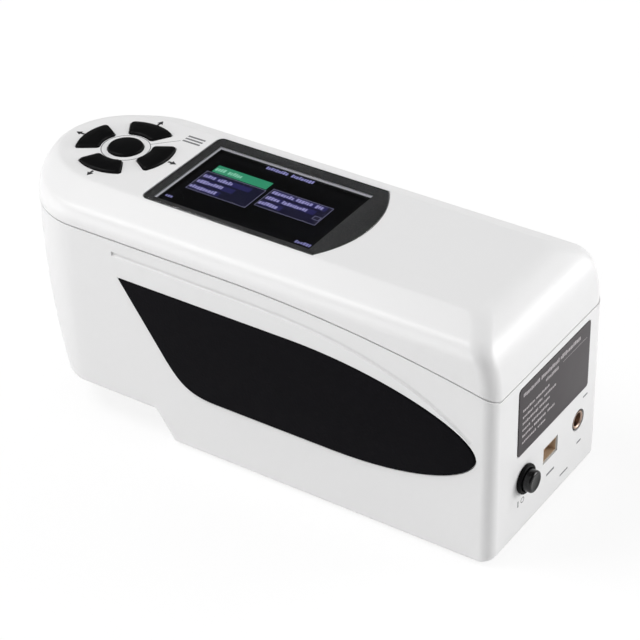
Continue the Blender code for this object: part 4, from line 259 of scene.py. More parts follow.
def body_plan(side, nose, port, corner):
    """Near half of the body's plan at every level, as x and y arrays of (level, point).
    Nose: x = root - reach * cos(t) ** (2 / power), y = -half * sin(t) ** (2 / power). Then come the
    straight side and a quarter circle at the port end. Each level is set in by its own amounts."""
    amounts = np.broadcast_arrays(*map(np.atleast_1d, (side, nose, port, corner)))
    side, nose, port, corner = (amount.reshape(-1, 1) for amount in amounts)
    half, end = HALF_WIDTH - side, PORT_END - port
    t = np.linspace(0.0, np.pi / 2, 41)[:-1]
    fixed = np.concatenate([np.linspace(NOSE_ROOT, STEP_TOP, 9)[:-1], np.linspace(STEP_TOP, STEP_FOOT, 5)])
    run = np.linspace(0.0, 1.0, 41)[1:]
    bend = np.linspace(0.0, np.pi / 2, CORNER_STEPS + 1)[1:]
    x = np.hstack([
        NOSE_ROOT - (NOSE_LENGTH - nose) * np.cos(t) ** (2 / NOSE_POWER),
        fixed + 0.0 * half,
        STEP_FOOT + (end - corner - STEP_FOOT) * run,
        end - corner + corner * np.sin(bend),
    ])
    y = np.hstack([
        -half * np.sin(t) ** (2 / NOSE_POWER),
        -half + 0.0 * fixed,
        -half + 0.0 * run,
        -half + corner - corner * np.cos(bend),
    ])
    return x, y


def port_share(x):
    """Share of the port end at each point of a plan: 0 along the side, a smooth step round the corner."""
    share = np.zeros(x.shape[1])
    turn = np.linspace(0.0, 1.0, CORNER_STEPS + 1)[1:]
    share[-CORNER_STEPS:] = turn * turn * (3 - 2 * turn)
    return share


def parting_line(x):
    """Height of the line between case and cover: level, then a parabola down to the port end, less
    a drop there."""
    dip = np.clip(1 - (PORT_END - x) / PARTING_DIP_LENGTH, 0.0, None)
    return PARTING_HEIGHT - PARTING_DIP * dip * dip - PARTING_DROP * port_share(x)


def underside(x):
    """Height of the underside: the case's floor, raised under the nose by a slanted step."""
    return CASE_FLOOR + (NOSE_UNDERSIDE - CASE_FLOOR) * np.clip((STEP_FOOT - x) / (STEP_FOOT - STEP_TOP), 0.0, 1.0)


def nose_lean(z):
    """How far the nose leans in at a height: a cubic of the depth below the parting line."""
    return NOSE_LEAN * ((PARTING_HEIGHT - z) / (PARTING_HEIGHT - NOSE_UNDERSIDE)) ** 3


def mirrored_shell(levels):
    """A closed body through half rings, mirrored about the middle plane, with strips across both
    ends. levels is a list of (x, y, z) arrays of (level, point)."""
    x, y, z = (np.vstack([level[k] for level in levels]) for k in range(3))
    near = np.stack([x, y, z], -1)
    far = near[:, :0:-1] * (1.0, -1.0, 1.0)
    rings = np.concatenate([near, far], 1)
    rows, columns = rings.shape[:2]
    faces = grid_faces(rows, columns)
    last = x.shape[1] - 1
    for base in (0, (rows - 1) * columns):
        i = np.arange(1, last)
        strips = np.column_stack([base + i, base + i + 1, base + columns - i - 1, base + columns - i])
        faces += strips.tolist() + [[base, base + 1, base + columns - 1]]
    return rings.reshape(-1, 3), faces


def wall_level(inset, rise):
    """One level of an upright wall, set in all round, at a height over the parting line."""
    x, y = body_plan(inset, inset, inset, COVER_CORNER - inset)
    return x, y, parting_line(x) + rise


def case_level(inset, nose, port, height, corner=CASE_CORNER):
    """One level of the case. height gives z from x, or is a row of flat heights, one a level."""
    x, y = body_plan(inset, nose, port, corner)
    return x, y, height(x) if callable(height) else height[:, None] + 0.0 * x


def capped(rings):
    """A closed body through rings of points, with a flat face at both ends."""
    rows, count = rings.shape[:2]
    ends = [list(range(count))[::-1], list(range((rows - 1) * count, rows * count))]
    return rings.reshape(-1, 3), grid_faces(rows, count) + ends


def prism(outline, low, high, axis="Z"):
    """A closed body with an outline, flat between two places on an axis."""
    u, v = np.asarray(outline, float).T
    return capped(np.stack([oriented(axis, low, u, v), oriented(axis, high, u, v)]))


def block(low, high):
    """A box between two corners."""
    (x0, y0, z0), (x1, y1, z1) = low, high
    return prism([(x0, y0), (x1, y0), (x1, y1), (x0, y1)], z0, z1)


def rod(radius, low, high, centre, axis="Z", steps=64):
    """A round bar between two places on an axis."""
    return turned([(0.0, low), (radius, low), (radius, high), (0.0, high)], centre, axis, steps)


def stepped_rod(radii, places, centre, axis="Z", steps=32):
    """A round bar of two radii, with the places where it starts, changes and ends."""
    (first, second), (low, step, high) = radii, places
    profile = [(0.0, low), (first, low), (first, step), (second, step), (second, high), (0.0, high)]
    return turned(profile, centre, axis, steps)


def together(*bodies):
    """Several closed bodies as the points and faces of one mesh."""
    starts = np.cumsum([0] + [len(points) for points, faces in bodies])
    faces = [[int(start) + c for c in face] for (points, some), start in zip(bodies, starts) for face in some]
    return np.concatenate([points for points, some in bodies]), faces


def carve(name, shape, steps):
    """A mesh of a shape after bodies are joined to it and cut out of it, one after another."""
    carved = new_object(name, new_mesh(name, *shape))
    tools = []
    for operation, body in steps:
        tools.append(new_object("tool", new_mesh("tool", *body)))
        modifier = carved.modifiers.new("tool", "BOOLEAN")
        modifier.operation = operation
        modifier.solver = "EXACT"
        modifier.object = tools[-1]
    settled = carved.evaluated_get(bpy.context.evaluated_depsgraph_get())
    mesh = bpy.data.meshes.new_from_object(settled)
    for spare in tools + [carved]:
        bpy.data.objects.remove(spare)
    mesh.materials.clear()
    mesh.shade_smooth()
    mesh.set_sharp_from_angle(angle=SHARP_ANGLE)
    return mesh


def soften(piece):
    """Round a moulding's sharp edges a little, and let its large flat faces rule the shading."""
    bevel = piece.modifiers.new("edges", "BEVEL")
    bevel.width = 0.0004
    bevel.segments = 2
    bevel.limit_method = "ANGLE"
    bevel.angle_limit = math.radians(50.0)
    weighted = piece.modifiers.new("shading", "WEIGHTED_NORMAL")
    weighted.keep_sharp = True
    return piece


def bezier(control, steps):
    """Points of a cubic curve: four control points weighted by (1-t)^3, 3t(1-t)^2, 3t^2(1-t), t^3."""
    t = np.linspace(0.0, 1.0, steps + 1)[:, None]
    a, b, c, d = np.array(control)
    return (1 - t) ** 3 * a + 3 * t * (1 - t) ** 2 * b + 3 * t * t * (1 - t) * c + t ** 3 * d


def rounded(low, high, radius):
    """Outline of a rectangle between two corners, with a quarter circle at each corner."""
    bend = np.linspace(0.0, np.pi / 2, 9)
    parts = []
    for k, (cx, cy) in enumerate((
        (high[0] - radius, low[1] + radius), (high[0] - radius, high[1] - radius),
        (low[0] + radius, high[1] - radius), (low[0] + radius, low[1] + radius),
    )):
        angle = bend + (k - 1) * np.pi / 2
        parts.append(np.column_stack([cx + radius * np.cos(angle), cy + radius * np.sin(angle)]))
    return np.concatenate(parts)


GRIP_CORNER = np.array([-0.0459, 0.0226])
GRIP_SIZE = np.array([0.1282, 0.0348])
GROOVE_RADIUS = 0.0008


def grip_outline(grow):
    """Outline of a grip pad in X and Z: three cubic curves and a pointed toe, in shares of its
    length and height, pushed outwards along its normals."""
    shares = np.concatenate([
        bezier(((0.497, 1.0), (0.746, 1.0), (1.0, 0.72), (1.0, 0.457)), 20),
        bezier(((1.0, 0.457), (0.998, 0.265), (0.858, 0.006), (0.616, 0.0)), 18)[1:],
        bezier(((0.272, 0.0), (0.192, 0.0), (0.166, 0.106), (0.131, 0.283)), 12),
        [(0.0, 1.0)],
    ])
    points = GRIP_CORNER + shares * GRIP_SIZE
    leave = np.roll(points, -1, 0) - points
    leave /= np.linalg.norm(leave, axis=1, keepdims=True)
    enter = np.roll(leave, 1, 0)
    scale = grow / (1 + np.sum(enter * leave, 1, keepdims=True))
    both = enter + leave
    return points + scale * np.column_stack([-both[:, 1], both[:, 0]])


def groove_bar(side):
    """A round bar that lies in a side along the curve over the grip; each ring stands square to it."""
    shares = np.concatenate([
        bezier(((-0.017, 1.243), (0.11, 1.243), (0.26, 1.235), (0.42, 1.226)), 20),
        bezier(((0.42, 1.226), (0.69, 1.2), (0.855, 1.01), (0.988, 0.62)), 40)[1:],
    ])
    path = GRIP_CORNER + shares * GRIP_SIZE
    along = np.gradient(path, axis=0)
    along /= np.linalg.norm(along, axis=1, keepdims=True)
    angle = np.linspace(0.0, 2 * np.pi, 12, endpoint=False)
    out, across = GROOVE_RADIUS * np.cos(angle), GROOVE_RADIUS * np.sin(angle)
    x = path[:, :1] - along[:, 1:] * across
    z = path[:, 1:] + along[:, :1] * across
    return capped(np.stack([x, side * HALF_WIDTH + out + 0.0 * x, z], -1))


inner_corner = CASE_CORNER - CASE_WALL
inner_heights = np.linspace(NOSE_FLOOR, LEVEL_TOP, 6)[1:]
fall = np.linspace(0.0, 1.0, 9)
heights = np.linspace(LEVEL_TOP, NOSE_FLOOR, 22)[1:]
bend = np.linspace(0.0, np.pi / 2, 8)
inwards, upwards = 1 - np.cos(bend), 1 - np.sin(bend)
bottom_lean = nose_lean(NOSE_UNDERSIDE + BOTTOM_ROUND * upwards)
case_levels = [
    case_level(CASE_WALL, CASE_WALL + nose_lean(NOSE_FLOOR), CASE_WALL, lambda x: underside(x) + CASE_WALL,
               inner_corner),
    case_level(CASE_WALL, CASE_WALL + nose_lean(inner_heights), CASE_WALL, inner_heights, inner_corner),
    wall_level(CASE_WALL, LIP),
    wall_level(CASE_WALL - LIP, LIP),
    wall_level(CASE_WALL - LIP, 0.0),
    case_level(0.0, nose_lean(LEVEL_TOP) * fall, 0.0,
               lambda x: parting_line(x) * (1 - fall[:, None]) + LEVEL_TOP * fall[:, None]),
    case_level(0.0, nose_lean(heights), 0.0, heights),
    case_level(BOTTOM_ROUND * inwards, BOTTOM_ROUND * inwards + bottom_lean, END_ROUND * inwards,
               lambda x: underside(x)
               + upwards[:, None] * (BOTTOM_ROUND + (END_ROUND - BOTTOM_ROUND) * port_share(x))),
]

PORT_AXIS = (-0.061, 0.0)
MEASURE_AXIS = (-0.056, 0.0544)
JACK_AXIS = (0.0198, 0.0218)
POWER_AXIS = (-0.014, 0.0218)
PORT_CUT = (0.009, 0.0152)
END_CUT = (0.0838, 0.09)
pillar_spots = [(px, py) for px in (-0.040, 0.062) for py in (-0.025, 0.025)]
foot_spots = [(px, py) for px in (-0.019, 0.077) for py in (-0.025, 0.025)]
port_screw_turns = np.radians((0.0, 120.0, 240.0))
port_screw_spots = [(PORT_AXIS[0] + 0.014 * math.cos(a), 0.014 * math.sin(a)) for a in port_screw_turns]
pillar_feet = [float(underside(np.array(px))) for px, py in pillar_spots]
supports = [rod(0.004, low + CASE_WALL / 2, 0.0524, spot, steps=32) for low, spot in zip(pillar_feet, pillar_spots)]
supports.append(block((-0.0242, -0.0192, 0.0019), (0.0443, 0.0192, 0.0255)))
supports += [block((rib, -0.0205, 0.0019), (rib + 0.0009, 0.0265, 0.008)) for rib in (0.0688, 0.0719)]
supports += [stepped_rod((0.0009, 0.0018), (0.0264, 0.0283, 0.0324), (px, MEASURE_AXIS[1]), "Y", 24)
             for px in (-0.065, -0.047)]
door_frame = block((STEP_FOOT, -0.0204, 0.0019), (0.0486, 0.0204, 0.0044))

holes = [stepped_rod((0.0029, 0.0018), (low - CUT_PAST, 0.0464, 0.0544), spot)
         for low, spot in zip(pillar_feet, pillar_spots)]
holes.append(rod(0.0103, *PORT_CUT, PORT_AXIS))
holes += [rod(0.0011, *PORT_CUT, spot, steps=20) for spot in port_screw_spots]
holes += [rod(0.0038, -0.002, 0.0012, spot, steps=40) for spot in foot_spots]
holes.append(rod(0.0058, 0.0293, 0.0355, MEASURE_AXIS, "Y"))
holes.append(rod(0.0037, *END_CUT, JACK_AXIS, "X", 48))
holes.append(rod(0.0046, *END_CUT, POWER_AXIS, "X", 48))
holes.append(block((END_CUT[0], -0.0023, 0.0188), (END_CUT[1], 0.0067, 0.0248)))
holes.append(prism(rounded((-0.019, 0.0318), (0.025, 0.0567), 0.0015), 0.0875, END_CUT[1], "X"))
holes += [prism(grip_outline(SEAM), side * 0.0323, side * 0.0355, "Y") for side in (-1, 1)]
bay = block((-0.023, -0.018, CASE_FLOOR), (0.0431, 0.018, 0.0243))
pocket = block((STEP_TOP, -0.0183, -0.002), (0.0453, 0.0183, 0.0028))
rails = block((STEP_TOP, -0.0195, 0.00108), (0.0453, 0.0195, 0.00238))
case_mesh = carve("lower_shell", mirrored_shell(case_levels), [
    ("UNION", together(*supports)),
    ("UNION", door_frame),
    ("DIFFERENCE", bay),
    ("DIFFERENCE", pocket),
    ("DIFFERENCE", rails),
    ("DIFFERENCE", together(*holes)),
    ("DIFFERENCE", together(groove_bar(-1), groove_bar(1))),
])


def new_group(name, inputs, outputs):
    """An empty node group with named sockets, what it is given, and the node that takes its results."""
    group = bpy.data.node_groups.new(name, "ShaderNodeTree")
    for way, sockets in (("INPUT", inputs), ("OUTPUT", outputs)):
        for socket, kind in sockets.items():
            group.interface.new_socket(socket, in_out=way, socket_type="NodeSocket" + kind)
    return group, add_node(group, "NodeGroupInput").outputs, add_node(group, "NodeGroupOutput")


def scaled(tree, colour, share):
    """A colour times a share."""
    return add_node(tree, "ShaderNodeVectorMath", {0: colour, "Scale": share}, operation="SCALE").outputs[0]


def bumps(tree, height, strength, depth):
    """The normal of a surface that a height between 0 and 1 raises by up to a depth."""
    inputs = {"Strength": strength, "Distance": depth, "Height": height}
    return add_node(tree, "ShaderNodeBump", inputs).outputs["Normal"]


def grain_group():
    """Fine grain of a moulding. swing = broad clouds + finer dust - 1, and then colour = tone *
    (1 + swing * spread) and roughness = roughness + swing * its spread. Even small noise is the height."""
    group, given, taken = new_group(
        "moulded_grain",
        {"Tone": "Color", "Spread": "Float", "Roughness": "Float", "Roughness Spread": "Float", "Scale": "Float"},
        {"Colour": "Color", "Roughness": "Float", "Height": "Float"},
    )
    place = object_place(group)
    clouds = worked(group, "ADD", noise(group, place, 45.0, 3.0), noise(group, place, 420.0, 3.0))
    swing = worked(group, "ADD", clouds, -1.0)
    shade = worked(group, "MULTIPLY_ADD", swing, given["Spread"], 1.0)
    feed(group, taken, {
        "Colour": scaled(group, given["Tone"], shade),
        "Roughness": worked(group, "MULTIPLY_ADD", swing, given["Roughness Spread"], given["Roughness"]),
        "Height": noise(group, place, given["Scale"], 2.0),
    })
    return group


grain = grain_group()


def moulded(name, tone, roughness, scale=1500.0, spread=0.04, depth=0.00004, strength=0.25, sockets=()):
    """A moulded material: the grain group colours it, sets its roughness and raises its small bumps."""
    made, tree, shader = new_surface(name, sockets)
    values = {"Tone": (*tone, 1.0), "Spread": spread, "Roughness": roughness, "Roughness Spread": 0.12, "Scale": scale}
    effect = add_node(tree, "ShaderNodeGroup", values, node_tree=grain).outputs
    feed(tree, shader, {
        "Base Color": effect["Colour"],
        "Roughness": effect["Roughness"],
        "Normal": bumps(tree, effect["Height"], strength, depth),
    })
    return made


white_moulding = moulded("white_moulding", (0.80, 0.798, 0.80), 0.34, spread=0.012, strength=0.12,
                         sockets={"Specular IOR Level": 0.32})
case = soften(new_object("case_moulding", case_mesh, white_moulding))
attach(case, "housing")
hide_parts("lower_case")

# ---------------------------------------------------------------- optics
# Inside the nose: an aluminium bracket, a diffuse white sphere in two screwed halves, a lamp in its
# side, and a tilted black barrel with a lens that looks at the sample and carries the sensor board.


def dress(surface, *names):
    """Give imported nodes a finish."""
    for name in names:
        for slot in nodes[name].material_slots:
            slot.material = surface


def brushed(name, tone, roughness, stretch):
    """Metal with drawn marks: noise squeezed along one direction turns its roughness and its bumps."""
    made, tree, shader = new_surface(name, {"Metallic": 1.0})
    drawn = add_node(tree, "ShaderNodeMapping", {"Vector": object_place(tree), "Scale": stretch}).outputs[0]
    marks = noise(tree, drawn, 300.0, 4.0)
    feed(tree, shader, {
        "Base Color": scaled(tree, tone, ranged(tree, marks, 0.9, 1.05)),
        "Roughness": ranged(tree, marks, roughness - 0.1, roughness + 0.15),
        "Normal": bumps(tree, marks, 0.2, 0.00003),
    })
    return made


def mixed(tree, share, first, second):
    """A colour that goes from the first to the second as a share goes from 0 to 1."""
    return add_node(tree, "ShaderNodeMixRGB", {"Fac": share, "Color1": first, "Color2": second}).outputs[0]


def split(tree, place):
    """The X, Y and Z of a place."""
    return add_node(tree, "ShaderNodeSeparateXYZ", {"Vector": place}).outputs


def cells(tree, place, scale, randomness=1.0, feature="F1"):
    """Distance to the nearest of many scattered spots, or to the border between their cells."""
    inputs = {"Vector": place, "Scale": scale, "Randomness": randomness}
    return add_node(tree, "ShaderNodeTexVoronoi", inputs, feature=feature).outputs["Distance"]


def board_group():
    """Circuit board: tracks run along the borders of random cells, and a round gilt pad lies over
    them where a cell has its centre. Both go from 1 to 0 over a narrow range of distance."""
    group, given, taken = new_group(
        "board_tracks",
        {"Mask Colour": "Color", "Track Colour": "Color"},
        {"Colour": "Color", "Metal": "Float", "Height": "Float"},
    )
    place = object_place(group)
    edge = ranged(group, cells(group, place, 330.0, feature="DISTANCE_TO_EDGE"), 1.0, 0.0, 0.05, 0.09)
    pad = ranged(group, cells(group, place, 330.0, 0.6), 1.0, 0.0, 0.14, 0.17)
    coloured = mixed(group, edge, given["Mask Colour"], given["Track Colour"])
    feed(group, taken, {
        "Colour": mixed(group, pad, coloured, (0.72, 0.55, 0.28, 1.0)),
        "Metal": pad,
        "Height": worked(group, "MAXIMUM", edge, pad),
    })
    return group


tracks = board_group()


def circuit(name, part_axis=None, part_range=(0.0, 0.0)):
    """Green solder mask over tracks; where parts stand out of the board along an axis, black
    moulding instead."""
    made, tree, shader = new_surface(name, {"Roughness": 0.38})
    colours = {"Mask Colour": (0.012, 0.085, 0.032, 1.0), "Track Colour": (0.03, 0.17, 0.06, 1.0)}
    effect = add_node(tree, "ShaderNodeGroup", colours, node_tree=tracks).outputs
    colour, metal = effect["Colour"], effect["Metal"]
    if part_axis is not None:
        mask = ranged(tree, split(tree, object_place(tree))[part_axis], 0.0, 1.0, *part_range)
        colour = mixed(tree, mask, (0.012, 0.012, 0.013, 1.0), colour)
        metal = worked(tree, "MULTIPLY", metal, mask)
    feed(tree, shader, {
        "Base Color": colour,
        "Metallic": metal,
        "Normal": bumps(tree, effect["Height"], 0.4, 0.00004),
    })
    return made


def clear(name, tint, roughness=0.03, ior=1.5):
    """Clear glass or acrylic with a faint haze of handling in its roughness."""
    made, tree, shader = new_surface(name, {"Base Color": (*tint, 1.0), "Transmission Weight": 1.0, "IOR": ior})
    haze = noise(tree, object_place(tree), 160.0, 3.0)
    feed(tree, shader, {"Roughness": ranged(tree, haze, roughness, roughness + 0.03, start=0.4)})
    return made


milled_aluminium = brushed("milled_aluminium", (0.66, 0.67, 0.69), 0.38, (1.0, 12.0, 1.0))
turned_steel = brushed("turned_steel", (0.58, 0.58, 0.60), 0.32, (6.0, 6.0, 1.0))
lining_white = moulded("lining_white", (0.86, 0.86, 0.84), 0.92, scale=2600.0, spread=0.03, depth=0.00005, strength=0.5)
inner_black = moulded("inner_black", (0.014, 0.014, 0.015), 0.62, scale=1900.0, spread=0.15)
green_board = circuit("green_board")
clear_glass = clear("clear_glass", (0.97, 0.99, 0.98))
dress(milled_aluminium, "optics_bracket")
dress(lining_white, "sphere_lower", "sphere_upper")
dress(inner_black, "sensor_barrel", "lamp_holder")
dress(green_board, "sensor_board", "lamp_board")
dress(clear_glass, "sensor_lens")
dress(turned_steel, "sphere_screw_1", "sphere_screw_2")

# ---------------------------------------------------------------- measuring port
# A turned black port under the nose, held by three screws through the case into the bracket, with
# a pane of glass in it and an exchangeable ring that the sample is held against.


def add_turned(name, profile, centre, axis, surface, body, node, steps=96):
    """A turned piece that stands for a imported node."""
    piece = new_object(name, new_mesh(name, *turned(profile, centre, axis, steps)), surface)
    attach(piece, body)
    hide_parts(node)


def round_corner(corner, before, after, radius):
    """Points of a small arc that replaces a profile's corner, from the side of one neighbour to the
    other: corner + enter * radius * (1 - sin t) + leave * radius * (1 - cos t)."""
    corner, before, after = (np.array(p, float) for p in (corner, before, after))
    enter = (before - corner) / np.linalg.norm(before - corner)
    leave = (after - corner) / np.linalg.norm(after - corner)
    t = np.linspace(0.0, np.pi / 2, 6)[:, None]
    return (corner + enter * radius * (1 - np.sin(t)) + leave * radius * (1 - np.cos(t))).tolist()


ring_profile = (
    [(0.004, 0.0), (0.0046, 0.0)]
    + round_corner((0.0121, 0.0), (0.0046, 0.0), (0.0121, 0.0026), 0.0006)
    + [(0.0121, 0.0011), (0.0118, 0.0012), (0.0118, 0.0014), (0.0121, 0.0015), (0.0121, 0.0026)]
    + [(0.006, 0.0026), (0.006, 0.005), (0.004, 0.005)]
)
pane_profile = [(0.0, 0.0053), (0.0058, 0.0053), (0.006, 0.0055), (0.006, 0.0061), (0.0058, 0.0063), (0.0, 0.0063)]
satin_black = moulded("satin_black", (0.0050, 0.0050, 0.0053), 0.40, scale=1900.0, spread=0.12, strength=0.12,
                      sockets={"Specular IOR Level": 0.08})
add_turned("sample_ring", ring_profile, PORT_AXIS, "Z", satin_black, "housing", "port_ring")
dress(inner_black, "measuring_port")
add_turned("port_pane", pane_profile, PORT_AXIS, "Z", clear_glass, "housing", "port_glass")
dress(turned_steel, "port_screw_1", "port_screw_2", "port_screw_3")

# ---------------------------------------------------------------- battery
# A wrapped pack in a bay of the case, pressed against sprung contacts, with a lead up to the main
# board. The moulded door slides on two rails and has ridges for a thumb.
wrap, tree, shader = new_surface("battery_wrap", {"Coat Weight": 0.4, "Coat Roughness": 0.15})
place = object_place(tree)
band = ranged(tree, split(tree, place)["X"], 0.0, 1.0, 0.0300, 0.0302)
wrinkle = noise(tree, place, 220.0, 3.0)
feed(tree, shader, {
    "Base Color": mixed(tree, band, (0.03, 0.09, 0.26, 1.0), (0.55, 0.56, 0.58, 1.0)),
    "Roughness": ranged(tree, wrinkle, 0.2, 0.4),
    "Normal": bumps(tree, wrinkle, 0.3, 0.0001),
})
dress(wrap, "battery_pack")
plated_brass = brushed("plated_brass", (0.78, 0.58, 0.28), 0.3, (1.0, 1.0, 8.0))
dress(plated_brass, "battery_contacts")
dress(moulded("red_insulation", (0.36, 0.012, 0.014), 0.45, scale=900.0, spread=0.08), "battery_lead")
dress(white_moulding, "battery_door")

# ---------------------------------------------------------------- measuring button
# A round black button on the far side, dished for a finger, that presses a switch on its own board.
button_profile = (
    [(0.0, 0.0333), (0.0018, 0.03334), (0.0034, 0.03352), (0.0044, 0.0338)]
    + round_corner((0.0055, 0.034), (0.0044, 0.034), (0.0055, 0.031), 0.0006)
    + [(0.0055, 0.031), (0.0065, 0.031), (0.0065, 0.030), (0.0015, 0.030), (0.0015, 0.0295), (0.0, 0.0295)]
)
add_turned("finger_button", button_profile, MEASURE_AXIS, "Y", satin_black, "measure_push", "measure_button")
dress(circuit("switch_board", "Y", (0.02585, 0.0258)), "measure_board")

# ---------------------------------------------------------------- port end
# A small board stands in ribs behind the end wall and carries the power jack with its plated sleeve,
# the data socket with its gilt contacts, and the switch of the round black power button.
SOCKET_CENTRE = (0.0022, 0.0218)
SOCKET_HALF_OPENING = (0.00372, 0.00222)
dress(green_board, "port_board")
dress(inner_black, "power_jack", "power_switch")
socket_metal, tree, shader = new_surface("socket_metal", {"Roughness": 0.35})
place = object_place(tree)
inside = worked(tree, "MULTIPLY", *(
    worked(tree, "COMPARE", split(tree, place)[axis], centre, half)
    for axis, centre, half in zip("YZ", SOCKET_CENTRE, SOCKET_HALF_OPENING)
))
tone = mixed(tree, inside, (0.72, 0.66, 0.58, 1.0), (0.60, 0.44, 0.30, 1.0))
feed(tree, shader, {
    "Base Color": scaled(tree, tone, ranged(tree, noise(tree, place, 900.0, 3.0), 0.85, 1.1)),
    "Metallic": worked(tree, "SUBTRACT", 1.0, inside),
})
dress(socket_metal, "data_socket")
gilt = brushed("gilt", (0.95, 0.62, 0.26), 0.22, (8.0, 1.0, 1.0))
worn_plate = brushed("worn_plate", (0.62, 0.46, 0.37), 0.34, (6.0, 1.0, 1.0))
sleeve_profile = [
    (0.00232, 0.0850), (0.00268, 0.0850), (0.00268, 0.0875), (0.0030, 0.0875), (0.0030, 0.0879),
    (0.00262, 0.0879), (0.00232, 0.0876),
]
pin_profile = [(0.00082, 0.0790), (0.00082, 0.0860), (0.0007, 0.0863), (0.0004, 0.08648), (0.0, 0.0865), (0.0, 0.0790)]
sleeve = together(turned(sleeve_profile, JACK_AXIS, "X"), turned(pin_profile, JACK_AXIS, "X", 40))
jack_sleeve = new_object("jack_sleeve", new_mesh("jack_sleeve", *sleeve), worn_plate)
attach(jack_sleeve, "housing")
strips = [block((0.0790, y0, 0.02242), (0.08235, y0 + 0.0006, 0.02252)) for y0 in np.arange(5) * 0.0011 - 0.0003]
socket_contacts = new_object("socket_contacts", new_mesh("socket_contacts", *together(*strips)), gilt)
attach(socket_contacts, "housing")
trim_profile = (
    [(0.0039, 0.0858), (0.0043, 0.0858), (0.0043, 0.0883), (0.0049, 0.0883)]
    + round_corner((0.0049, 0.0894), (0.0049, 0.0883), (0.0039, 0.0894), 0.0004)
    + round_corner((0.0039, 0.0894), (0.0049, 0.0894), (0.0039, 0.0858), 0.0002)
)
add_turned("power_ring", trim_profile, POWER_AXIS, "X", satin_black, "housing", "power_trim")
cap_profile = (
    [(0.0, 0.0918), (0.0012, 0.09181), (0.0022, 0.09188), (0.0026, 0.092)]
    + round_corner((0.0036, 0.092), (0.0026, 0.092), (0.0036, 0.084), 0.0007)
    + [(0.0036, 0.084), (0.0015, 0.084), (0.0015, 0.0788), (0.0, 0.0788)]
)
gloss_black = moulded("gloss_black", (0.005, 0.005, 0.0055), 0.25, spread=0.1, strength=0.06,
                      sockets={"Specular IOR Level": 0.4})
add_turned("power_cap", cap_profile, POWER_AXIS, "X", gloss_black, "power_push", "power_button")

# ---------------------------------------------------------------- boards
# The main board hangs under the cover with its chips downwards, and the key board sits under the
# silicone mat whose domes spring the keys back.
dress(circuit("main_circuit", "Z", (0.07205, 0.0721)), "main_board")
dress(green_board, "key_board")
dress(turned_steel, "main_board_screw_1", "main_board_screw_2", "key_board_screw_1", "key_board_screw_2")
silicone = moulded("grey_silicone", (0.42, 0.43, 0.45), 0.5, scale=700.0, spread=0.05,
                   sockets={"Subsurface Weight": 0.2, "Subsurface Scale": 0.002})
dress(silicone, "key_mat")

# ---------------------------------------------------------------- display
# A colour display in a dark metal frame, pressed up against a foam gasket. The menu on it
# is a picture of light: one green row, two outlined lists, and bars in place of every word.
SIGHT_X = (-0.0416, 0.0158)
SIGHT_Y = (-0.0186, 0.0170)
SCREEN = 0.0780
WORD_HEIGHT = 0.0019
LIST_FRAME = 0.00016


def stripes(tree, scale):
    """Soft stripes from 0 to 1 that follow one another along Y."""
    inputs = {"Vector": object_place(tree), "Scale": scale}
    return add_node(tree, "ShaderNodeTexWave", inputs, bands_direction="Y").outputs["Fac"]


dress(brushed("dark_frame", (0.05, 0.05, 0.055), 0.35, (1.0, 10.0, 1.0)), "display_frame")
foam, tree, shader = new_surface("dark_foam", {"Roughness": 0.9})
pores = cells(tree, object_place(tree), 2600.0)
feed(tree, shader, {"Base Color": ranged(tree, pores, 0.020, 0.032), "Normal": bumps(tree, pores, 0.5, 0.00005)})
dress(foam, "window_gasket")
amber, tree, shader = new_surface("amber_film", {"Roughness": 0.3, "Coat Weight": 0.3})
feed(tree, shader, {"Base Color": mixed(tree, stripes(tree, 230.0), (0.42, 0.19, 0.03, 1.0), (0.60, 0.33, 0.10, 1.0))})
dress(amber, "display_ribbon")
dark_cells, tree, shader = new_surface(
    "dark_cells", {"Base Color": (0.002, 0.002, 0.0035, 1.0), "Specular IOR Level": 0.06})
pixels = add_node(tree, "ShaderNodeTexChecker", {"Vector": object_place(tree), "Scale": 4000.0})
feed(tree, shader, {"Roughness": ranged(tree, pixels.outputs["Fac"], 0.3, 0.4)})
dress(dark_cells, "display_panel")


def linear(red, green, blue):
    """A screen colour, given from 0 to 255, as the light it stands for: value / 12.92 when it is
    very dark, else ((value + 0.055) / 1.055) ** 2.4."""
    value = np.array((red, green, blue)) / 255
    return tuple(np.where(value <= 0.04045, value / 12.92, ((value + 0.055) / 1.055) ** 2.4).tolist())


def strokes(rectangles, low, high, axis="Z"):
    """Thin flat bars, each given by two opposite corners in the plane across an axis."""
    return together(*[prism([(a, b), (c, b), (c, d), (a, d)], low, high, axis) for a, b, c, d in rectangles])


def word_bars(start, row, widths, height):
    """Bars in a row in place of words: each width is cut into short blocks, like letters too small
    to read. Their widths, feet and heights vary by chance, from a seed of the row's own place."""
    seeded = np.random.default_rng(int(abs(start) * 1e5 + abs(row) * 1e5))
    bars, at = [], start
    for width in widths:
        stop = at + width
        while at < stop - 0.0004:
            step = min(stop - at, 0.0005 + 0.0004 * seeded.random())
            foot = row + height * 0.15 * seeded.random()
            bars.append((at, foot, at + step, row + height * (0.7 + 0.3 * seeded.random())))
            at += step + 0.00026
        at = stop + 0.00085
    return bars


def frame_bars(low, high, width):
    """Four bars round a rectangle."""
    (x0, y0), (x1, y1) = low, high
    return [(x0, y0, x1, y0 + width), (x0, y1 - width, x1, y1), (x0, y0, x0 + width, y1), (x1 - width, y0, x1, y1)]


def lit(name, colour):
    """Light of the display, also used for the painted glow of the pale edge: an emitted colour, dimmer and brighter by
    the fine rows of its cells.
    """
    values = {"Base Color": (0.0, 0.0, 0.0, 1.0), "Roughness": 0.4, "Emission Strength": 1.0}
    made, tree, shader = new_surface(name, values)
    feed(tree, shader, {"Emission Color": scaled(tree, colour, ranged(tree, stripes(tree, 900.0), 0.8, 1.1))})
    return made


